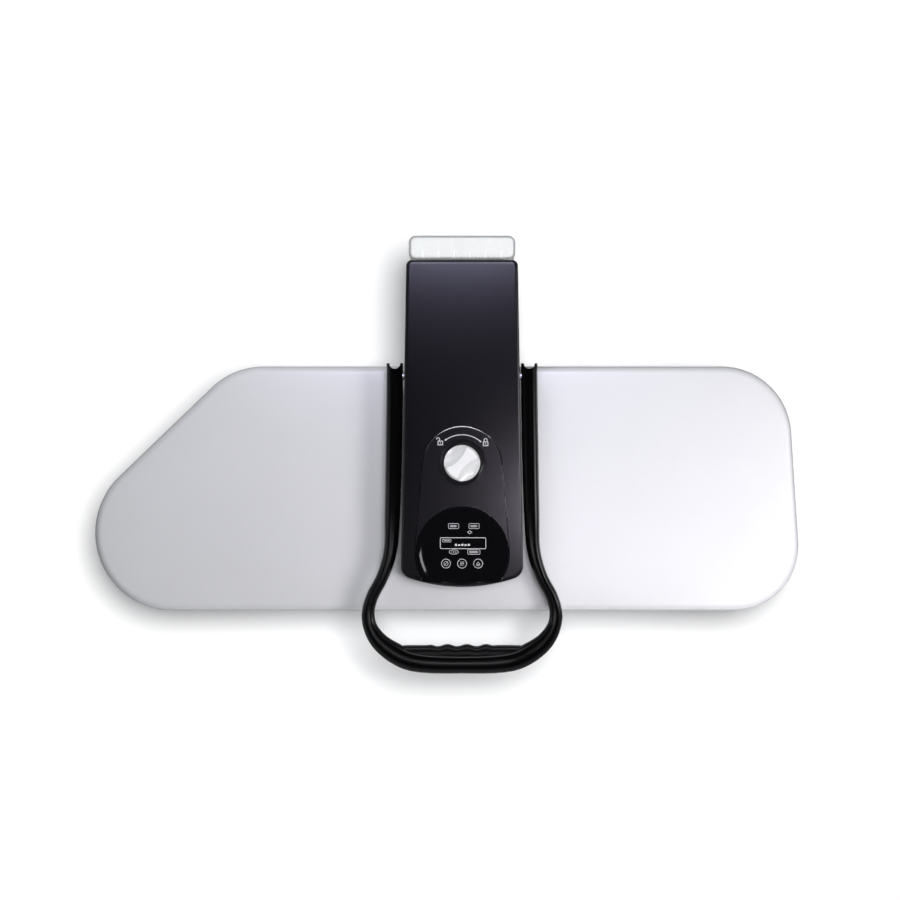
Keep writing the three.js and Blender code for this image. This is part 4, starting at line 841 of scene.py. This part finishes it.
def makeRim(start, end, steps, wide, tall, inset, lift, swell, least, sides):
    stations = []
    radius = islandSettings["smallRadius"] - inset
    for k in range(steps + 1):
        share = k / steps
        angle = math.radians(start + (end - start) * share)
        outward = Vector((math.cos(angle), math.sin(angle), 0))
        point = Vector((armX, islandSettings["smallY"], 0)) + outward * radius
        point.z = consoleTop(point.y) + islandSettings["rise"] + lift
        stations.append((point, outward, wide, tall * max(math.sin(math.pi * share) ** swell, least)))
    finish("islandRim", sweep(stations, sides, 1.0), "panelBlack", "arm", [], 60)


makeRim(**rimSettings)
print("island rim made")

# printed marks: thin raised ink in strips; a mark's height is a function of y, so that it lies on its surface
inkSettings = {"thick": 0.24, "sink": 0.12}
arcSettings = {"radius": 28.2, "start": 48.0, "end": 127.0, "line": 0.75, "barb": 1.4, "barbLine": 0.5,
               "spread": 30.0}
padlockSettings = {"size": 5.5, "line": 0.13, "body": (0.42, -0.6, 0.08), "keyhole": (-0.34, -0.16),
                   "bow": 0.27, "bowZ": 0.42, "swing": -0.4}
padlockPlaces = [(-21.6, 21.4, True), (23.4, 20.6, False)]      # from the knob's centre, and if it is open
# photograph pixels of what the lens shows, as (left, right, upper, lower) or (x, y)
glassPixels = {
    "origin": (446.5, 455.0), "screen": (440.4, 485.6, 537.3, 548.2), "label": (442.6, 451.0, 538.9, 541.5),
    "frames": [(448.5, 458.7, 523.2, 528.2), (468.9, 479.0, 523.2, 528.2), (467.6, 479.8, 549.2, 553.8)],
    "digits": (454.8, 544.4), "oval": (453.8, 551.5), "diamond": (469.6, 531.8),
}
glassSettings = {
    "corner": 1.0, "frameLine": 0.4, "bars": (-0.8, 0.0, 0.8), "barEnd": 1.6, "barHalf": 0.2,
    "screenLine": 0.6, "labelCorner": 0.6, "labelLine": 0.35, "labelEnd": 1.4, "labelHalf": 0.3,
    "digits": 5, "digitPitch": 3.2, "digitWide": 2.2, "digitHalf": 1.0, "digitDrop": 0.35,
    "oval": (4.8, 2.3), "ovalLine": 0.45, "dots": (-2.0, 0.0, 2.0), "dot": 0.5,
    "diamond": (2.2, 1.6), "diamondLine": 0.5,
}
# the buttons' rings are (radius, line, segments), and their signs (points, line, closed), round the centre
buttonRings = [[(4.7, 0.5, 64), (2.3, 0.4, 40)], [(4.7, 0.5, 64)], [(4.7, 0.5, 64)]]
buttonSigns = [
    [([(-1.3, -1.3), (1.3, 1.3)], 0.4, False)],
    [([(-1.9, row), (1.9, row)], 0.45, False) for row in (-1.5, 0.0, 1.5)],
    [([(-2.0, -1.0), (0.0, 1.7), (2.0, -1.0)], 0.4, True), ([(-1.6, -2.1), (1.6, -2.1)], 0.4, False)],
]


def level(rise):
    return lambda y: consoleTop(y) + rise


def inkBox(x0, x1, y0, y1, height):
    z = height((y0 + y1) / 2) - inkSettings["sink"]
    return makeBox(x0, x1, y0, y1, z, z + inkSettings["thick"])


def inkRound(x, y, radiusX, radiusY, height, line=None, segments=48):
    bm = bmesh.new()
    outer = bmesh.ops.create_circle(bm, cap_ends=line is None, segments=segments, radius=1.0)["verts"]
    bmesh.ops.scale(bm, vec=(radiusX, radiusY, 1), verts=outer)
    if line is not None:
        inner = bmesh.ops.create_circle(bm, cap_ends=False, segments=segments, radius=1.0)["verts"]
        bmesh.ops.scale(bm, vec=(radiusX - line, radiusY - line, 1), verts=inner)
        bmesh.ops.bridge_loops(bm, edges=bm.edges[:])
    bmesh.ops.translate(bm, vec=(x, y, height(y) - inkSettings["sink"]), verts=bm.verts)
    return thicken(bm, inkSettings["thick"])


# a line of even width along points, as flat strips that lap at the corners
def inkPath(points, width, height, closed=False):
    marks = []
    for (x0, y0), (x1, y1) in zip(points, points[1:] + points[:1] if closed else points[1:]):
        along = Vector((x1 - x0, y1 - y0))
        z = height((y0 + y1) / 2) + inkSettings["thick"] / 2 - inkSettings["sink"]
        bm = bmesh.new()
        place = Matrix.Translation(((x0 + x1) / 2, (y0 + y1) / 2, z))
        turned = Matrix.Rotation(math.atan2(along.y, along.x), 4, "Z")
        size = Matrix.Diagonal((along.length + width / 2, width, inkSettings["thick"], 1))
        bmesh.ops.create_cube(bm, size=1.0, matrix=place @ turned @ size)
        marks.append(bm)
    return marks


def arcPoints(x, y, radius, start, end, steps):
    angles = [math.radians(start + (end - start) * k / steps) for k in range(steps + 1)]
    return [(x + radius * math.cos(angle), y + radius * math.sin(angle)) for angle in angles]


def inkFrame(x0, x1, y0, y1, corner, width, height):
    points = []
    for x, y, start in ((x1 - corner, y1 - corner, 0), (x0 + corner, y1 - corner, 90),
                        (x0 + corner, y0 + corner, 180), (x1 - corner, y0 + corner, 270)):
        points += arcPoints(x, y, corner, start, start + 90, 4)
    return inkPath(points, width, height, closed=True)


def padlock(x, y, opened, height, size, line, body, keyhole, bow, bowZ, swing):
    def draw(points, closed=False):
        return inkPath([(x + a * size, y + b * size) for a, b in points], line * size, height, closed)

    half, foot, head = body
    loop = arcPoints(swing if opened else 0.0, bowZ, bow, 0, 180, 12)
    loop.insert(0, (loop[0][0], head))
    if not opened:
        loop.append((loop[-1][0], head))
    marks = draw([(-half, foot), (half, foot), (half, head), (-half, head)], closed=True)
    return marks + draw([(0, z) for z in keyhole]) + draw(loop)


# the turning arc, with a barb at each end that points away from it
def turnArc(height, radius, start, end, line, barb, barbLine, spread):
    marks = inkPath(arcPoints(armX, knobY, radius, start, end, 28), line, height)
    for degrees, way in ((start, 1), (end, -1)):
        tip = arcPoints(armX, knobY, radius, degrees, degrees, 1)[0]
        for side in (-spread, spread):
            back = degrees - way * 90 + 180 + side
            marks += inkPath([tip, arcPoints(*tip, barb, back, back, 1)[0]], barbLine, height)
    return marks


def mergeAll(parts):
    whole = bmesh.new()
    for part in parts:
        mesh = bpy.data.meshes.new("part")
        part.to_mesh(mesh)
        part.free()
        whole.from_mesh(mesh)
        bpy.data.meshes.remove(mesh)
    return whole


def fromPixels(x, y):
    return x - glassPixels["origin"][0], glassPixels["origin"][1] - y


def boxFromPixels(left, right, upper, lower):
    (x0, y1), (x1, y0) = fromPixels(left, upper), fromPixels(right, lower)
    return x0, x1, y0, y1


def printPiece(name, marks, body):
    finish(name, mergeAll(marks), "whiteInk", body)


def makePanelPrint(height):
    marks = turnArc(height, **arcSettings)
    for x, y, opened in padlockPlaces:
        marks += padlock(armX + x, knobY + y, opened, height, **padlockSettings)
    printPiece("panelPrint", marks, "arm")


# three frames with plain bars, a screen with plain blocks, an oval with three dots and a diamond
def makeGlassPrint(height, settings):
    screen = boxFromPixels(*glassPixels["screen"])
    marks = inkFrame(*screen, settings["corner"], settings["screenLine"], height)
    half, end = settings["barHalf"], settings["barEnd"]
    for pixels in glassPixels["frames"]:
        x0, x1, y0, y1 = boxFromPixels(*pixels)
        marks += inkFrame(x0, x1, y0, y1, settings["corner"], settings["frameLine"], height)
        for row in settings["bars"]:
            y = (y0 + y1) / 2 + row
            marks.append(inkBox(x0 + end, x1 - end - abs(row), y - half, y + half, height))
    x0, x1, y0, y1 = boxFromPixels(*glassPixels["label"])
    y, half, end = (y0 + y1) / 2, settings["labelHalf"], settings["labelEnd"]
    marks += inkFrame(x0, x1, y0, y1, settings["labelCorner"], settings["labelLine"], height)
    marks.append(inkBox(x0 + end, x1 - end, y - half, y + half, height))
    left, y = fromPixels(*glassPixels["digits"])
    half = settings["digitHalf"]
    for k in range(settings["digits"]):
        x = left + settings["digitPitch"] * k
        drop = settings["digitDrop"] * (k % 2)
        marks.append(inkBox(x, x + settings["digitWide"], y - half, y + half - drop, height))
    x, y = fromPixels(*glassPixels["oval"])
    marks.append(inkRound(x, y, *settings["oval"], height, settings["ovalLine"]))
    for across in settings["dots"]:
        marks.append(inkRound(x + across, y, settings["dot"], settings["dot"], height, None, 16))
    x, y = fromPixels(*glassPixels["diamond"])
    a, b = settings["diamond"]
    corners = [(x + a, y), (x, y + b), (x - a, y), (x, y - b)]
    marks += inkPath(corners, settings["diamondLine"], height, closed=True)
    printPiece("glassPrint", marks, "arm")


# buttons: a ring on each, with a struck circle, three bars and a triangle over a bar
def makeButtonPrint(i):
    x, y, top = buttonX(i), buttonSettings["y"], boxOf(buttonNodes[i])[1].z
    marks = [inkRound(x, y, radius, radius, lambda y: top, line, segments)
             for radius, line, segments in buttonRings[i]]
    for points, line, closed in buttonSigns[i]:
        marks += inkPath([(x + a, y + b) for a, b in points], line, lambda y: top, closed)
    printPiece(f"buttonPrint{i + 1}", marks, buttonNodes[i])


makePanelPrint(level(islandSettings["rise"]))
makeGlassPrint(level(lensSettings["rise"]), glassSettings)
for index in range(len(buttonNodes)):
    makeButtonPrint(index)
print("prints made")

# water tank: a clear moulding with a raised head behind the console, and ribs under the head's roof
tankSettings = {
    "bottom": 151.8, "front": 112.0, "half": 51.5, "top": 198.0, "headStart": 194.6, "headHalf": 53.0,
    "headTop": 206.0, "corner": 7.0, "foot": 1.5, "footSide": 2.0, "lowRound": 3.0, "headRound": 2.6,
    "wall": 2.4, "neck": 12.0, "bore": 8.5, "capY": 150.0, "capHigh": 6.2, "edge": 0.4,
}
ribSettings = {"count": 6, "pitch": 15.6, "wide": 1.6, "start": 1.5, "end": 9.0, "low": 1.18, "high": 0.37}


def makeTank(bottom, front, half, top, headStart, headHalf, headTop, corner, foot, footSide, lowRound,
             headRound, wall, neck, bore, capY, capHigh, edge):
    high = boxOf("water_tank")[1]

    def block(inset, y, halfWide, roof, rounding, steps):
        floor = bottom + inset
        return stack(rectangle(armX - halfWide, armX + halfWide, y, high.y, corner), [
            (inset + foot, floor), (inset, floor + footSide),
            *roundedEdge(inset, roof - inset, max(rounding - inset, 0.6), steps),
        ], 12)

    def body(inset):
        return carve(block(inset, front, half, top, lowRound, 5),
                     [block(inset, headStart, headHalf, headTop, headRound, 8)], "UNION")

    shell = carve(body(0), [cylinder(armX, capY, top - 4, high.z - capHigh, neck)], "UNION")
    inside = carve(body(wall), [cylinder(armX, capY, top - 8, high.z, bore)], "UNION")
    shell = carve(shell, [inside])
    soften(shell, edge, 2, 45)
    finish("waterTank", shell, "clearTank", "tank", ["water_tank"], 35)


def makeRibs(count, pitch, wide, start, end, low, high):
    y, z = tankSettings["headStart"], tankSettings["headTop"]
    ribs = []
    for k in range(count):
        x = armX + (k - (count - 1) / 2) * pitch
        ribs.append(makeBox(x - wide / 2, x + wide / 2, y + start, y + end, z - low, z + high))
    finish("tankRibs", mergeAll(ribs), "tankRib", "tank", [], 35)


makeTank(**tankSettings)
makeRibs(**ribSettings)
print("tank made")

# the CAD pieces that stay in view take a finish of their own
plainFinish = {
    "whiteShell": "column_cover water_pump tank_valve terminal_block",
    "blackShell": "base_bottom_cover rear_shroud",
    "softBlack": "cord_inlet console_lower_cover tank_cap",
    "lensBlack": "display_module",
    "castAluminium": "hinge_column arm_frame soleplate steam_chamber",
    "steel": "board_pan hinge_shaft knob_spindle lock_bolt handle_shaft pressure_cam_left pressure_cam_right "
             "heating_element heat_shield head_yoke balance_coil_left balance_coil_right",
    "brass": "hinge_bush_left hinge_bush_right handle_bush_left handle_bush_right thermostat steam_nipple",
    "circuit": "control_board",
    "rubber": "steam_hose water_hose feed_hose",
}
for chosen, nodes in plainFinish.items():
    for node in nodes.split():
        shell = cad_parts[node]
        shell.data.materials.clear()
        shell.data.materials.append(materials[chosen])
print("CAD finishes set")

# floor: white to the camera with the object's soft shadow, grey to every other ray so that edges stay dark
floorSettings = {"size": 4000.0, "seen": 0.97, "spread": 0.01, "bounce": 0.25}


def makeFloor(size, seen, spread, bounce):
    bm = bmesh.new()
    bmesh.ops.create_grid(bm, x_segments=1, y_segments=1, size=size)
    floor = asObject(bm, "floor", mm)
    material, tree, shader, place = newMaterial("floorWhite")
    white = addRamp(tree, addNoise(tree, place, 3.0), [seen - spread] * 3, [seen] * 3)
    toCamera = addNode(tree, "LightPath", {}).outputs["Is Camera Ray"]
    tone = addNode(tree, "Mix", {}, data_type="RGBA")
    setInputs(tree, tone, {"Factor": toCamera, "A": (bounce, bounce, bounce, 1), "B": white})
    tone = tone.outputs["Result"]
    setInputs(tree, shader, {"Base Color": tone, "Roughness": 0.9, "Specular IOR Level": 0.0})
    floor.data.materials.append(material)


makeFloor(**floorSettings)

# lights: one soft source high above throws the close shadow, and soft boxes shade the head from rear left to
# right; panels that only gloss shows give the blacks their gradients and edge lines
glossOnly = ("diffuse", "transmission")
softOnly = ("glossy",)
handlePieces = ["handleLoop", "handleGrip"]
tankPieces = ["waterTank", "tankRibs"]
printPieces = ["panelPrint", "glassPrint", "buttonPrint1", "buttonPrint2", "buttonPrint3"]
soberPieces = ["floor", "consoleCover", "controlIsland", "panelLens", "knobRing", *printPieces, *tankPieces,
               *handlePieces]
lensPieces = ["panelLens", "buttonleftCap", "buttonmiddleCap", "buttonrightCap", *handlePieces]
sunSettings = {"name": "top", "tilt": (0.07, 0.07), "angle": 17.0, "power": 3.1}
lightSettings = [
    dict(name="key", at=(521, -266, 786), aim=(330, 0, 160), size=(300, 400), power=10, tint=(1, 0.985, 0.98),
         unseenBy=softOnly, notOn=soberPieces),
    dict(name="rear", at=(-183, 766, 681), aim=(-200, 60, 180), size=(300, 200), power=7.2,
         tint=(0.96, 0.97, 1), unseenBy=softOnly, notOn=soberPieces),
    dict(name="front", at=(250, -1500, 260), aim=(0, -100, 120), size=(1400, 300), power=16, tint=(1, 1, 1),
         unseenBy=softOnly, notOn=soberPieces),
    dict(name="sheen", at=(15, 257, 800), aim=(15, 195, 210), size=(200, 60), power=2.0, tint=(0.72, 0.7, 1),
         notOn=[*tankPieces, "lockKnob", "knobRing", *handlePieces]),
    dict(name="glow", at=(150, -100, 900), aim=(55, -40, 205), size=(70, 80), power=0.5, tint=(0.92, 0.84, 1),
         notOn=lensPieces),
    dict(name="edgeRight", at=(1000, 0, 560), aim=(70, -20, 190), size=(300, 900), power=1.6,
         tint=(0.95, 0.93, 1), notOn=["panelLens", *handlePieces]),
    dict(name="armLeft", at=(-760, -60, 860), aim=(-40, -60, 190), size=(150, 500), power=0.15,
         notOn=["panelLens"]),
    dict(name="armRight", at=(790, -60, 860), aim=(70, -60, 190), size=(150, 500), power=1.1,
         notOn=["panelLens"]),
    dict(name="barTop", at=(0, 500, 700), aim=(15, -200, 185), size=(500, 120), power=0.5),
    dict(name="rimLeft", at=(-150, -187, 980), aim=(-20, -98, 205), size=(90, 50), power=0.045),
    dict(name="islandArc", at=(15, 560, 760), aim=(15, 40, 205), size=(700, 600), power=80,
         tint=(0.97, 0.96, 1), onlyOn=["islandRim"]),
    dict(name="ringLeft", at=(-640, 200, 720), aim=(0, 0, 205), size=(200, 500), power=4,
         onlyOn=["knobRing"]),
    dict(name="knobFill", at=(-700, 250, 420), aim=(15, 0, 210), size=(200, 200), power=5, tint=(1, 1, 1),
         unseenBy=softOnly, onlyOn=["lockKnob"]),
    dict(name="barSoft", at=(15, -222, 900), aim=(15, -205, 185), size=(180, 60), power=0.07,
         tint=(0.97, 0.97, 1), onlyOn=handlePieces),
    dict(name="rimFront", at=(20, -222, 900), aim=(20, -125, 205), size=(60, 30), power=0.008),
]


def placeLamp(data, power, tint, place, way, unseenBy):
    data.energy = power
    data.color = tint
    lamp = bpy.data.objects.new(data.name, data)
    lamp.visible_camera = False
    for kind in unseenBy:
        setattr(lamp, "visible_" + kind, False)
    lamp.matrix_world = Matrix.Translation(place) @ way.to_track_quat("-Z", "Y").to_matrix().to_4x4()
    bpy.context.scene.collection.objects.link(lamp)
    return lamp


# the one distant source, from above
def makeSun(name, tilt, angle, power):
    data = bpy.data.lights.new(name, "SUN")
    data.angle = math.radians(angle)
    placeLamp(data, power, (1, 1, 1), 2 * up, -Vector((*tilt, 1)), softOnly)


def makePanel(name, at, aim, size, power, tint=(0.95, 0.95, 1), unseenBy=glossOnly, notOn=(), onlyOn=()):
    data = bpy.data.lights.new(name, "AREA")
    data.shape = "RECTANGLE"
    data.size, data.size_y = size[0] * mm, size[1] * mm
    lamp = placeLamp(data, power, tint, Vector(at) * mm, (Vector(aim) - Vector(at)) * mm, unseenBy)
    if notOn or onlyOn:
        picked = bpy.data.collections.new(name + "Picked")
        for piece in notOn or onlyOn:
            picked.objects.link(bpy.data.objects[piece])
        for member in picked.collection_objects:
            member.light_linking.link_state = "EXCLUDE" if notOn else "INCLUDE"
        lamp.light_linking.receiver_collection = picked


makeSun(**sunSettings)
for panel in lightSettings:
    makePanel(**panel)

# world: plain white to the camera; to other rays a grey that darkens towards the top, as over a copy table
worldSettings = {"low": 0.35, "high": 0.02, "start": 0.35, "end": 0.85, "tint": (0.93, 0.95, 1.0)}


def makeWorld(low, high, start, end, tint):
    world = bpy.data.worlds.new("studio")
    world.use_nodes = True
    tree = world.node_tree
    tree.nodes.clear()
    place = addNode(tree, "TexCoord", {}).outputs["Generated"]
    height = addNode(tree, "SeparateXYZ", {"Vector": place}).outputs["Z"]
    dim = addNode(tree, "MapRange", {"Value": height, "From Min": start, "From Max": end, "To Min": low,
                                     "To Max": high}).outputs["Result"]
    studio = addNode(tree, "Background", {"Color": (*tint, 1), "Strength": dim}).outputs[0]
    seen = addNode(tree, "Background", {"Color": (1, 1, 1, 1)}).outputs[0]
    toCamera = addNode(tree, "LightPath", {}).outputs["Is Camera Ray"]
    mix = addNode(tree, "MixShader", {0: toCamera, 1: studio, 2: seen})
    addNode(tree, "OutputWorld", {"Surface": mix.outputs["Shader"]})
    bpy.context.scene.world = world


makeWorld(**worldSettings)
bpy.context.scene.view_settings.view_transform = "Standard"
print("studio set")
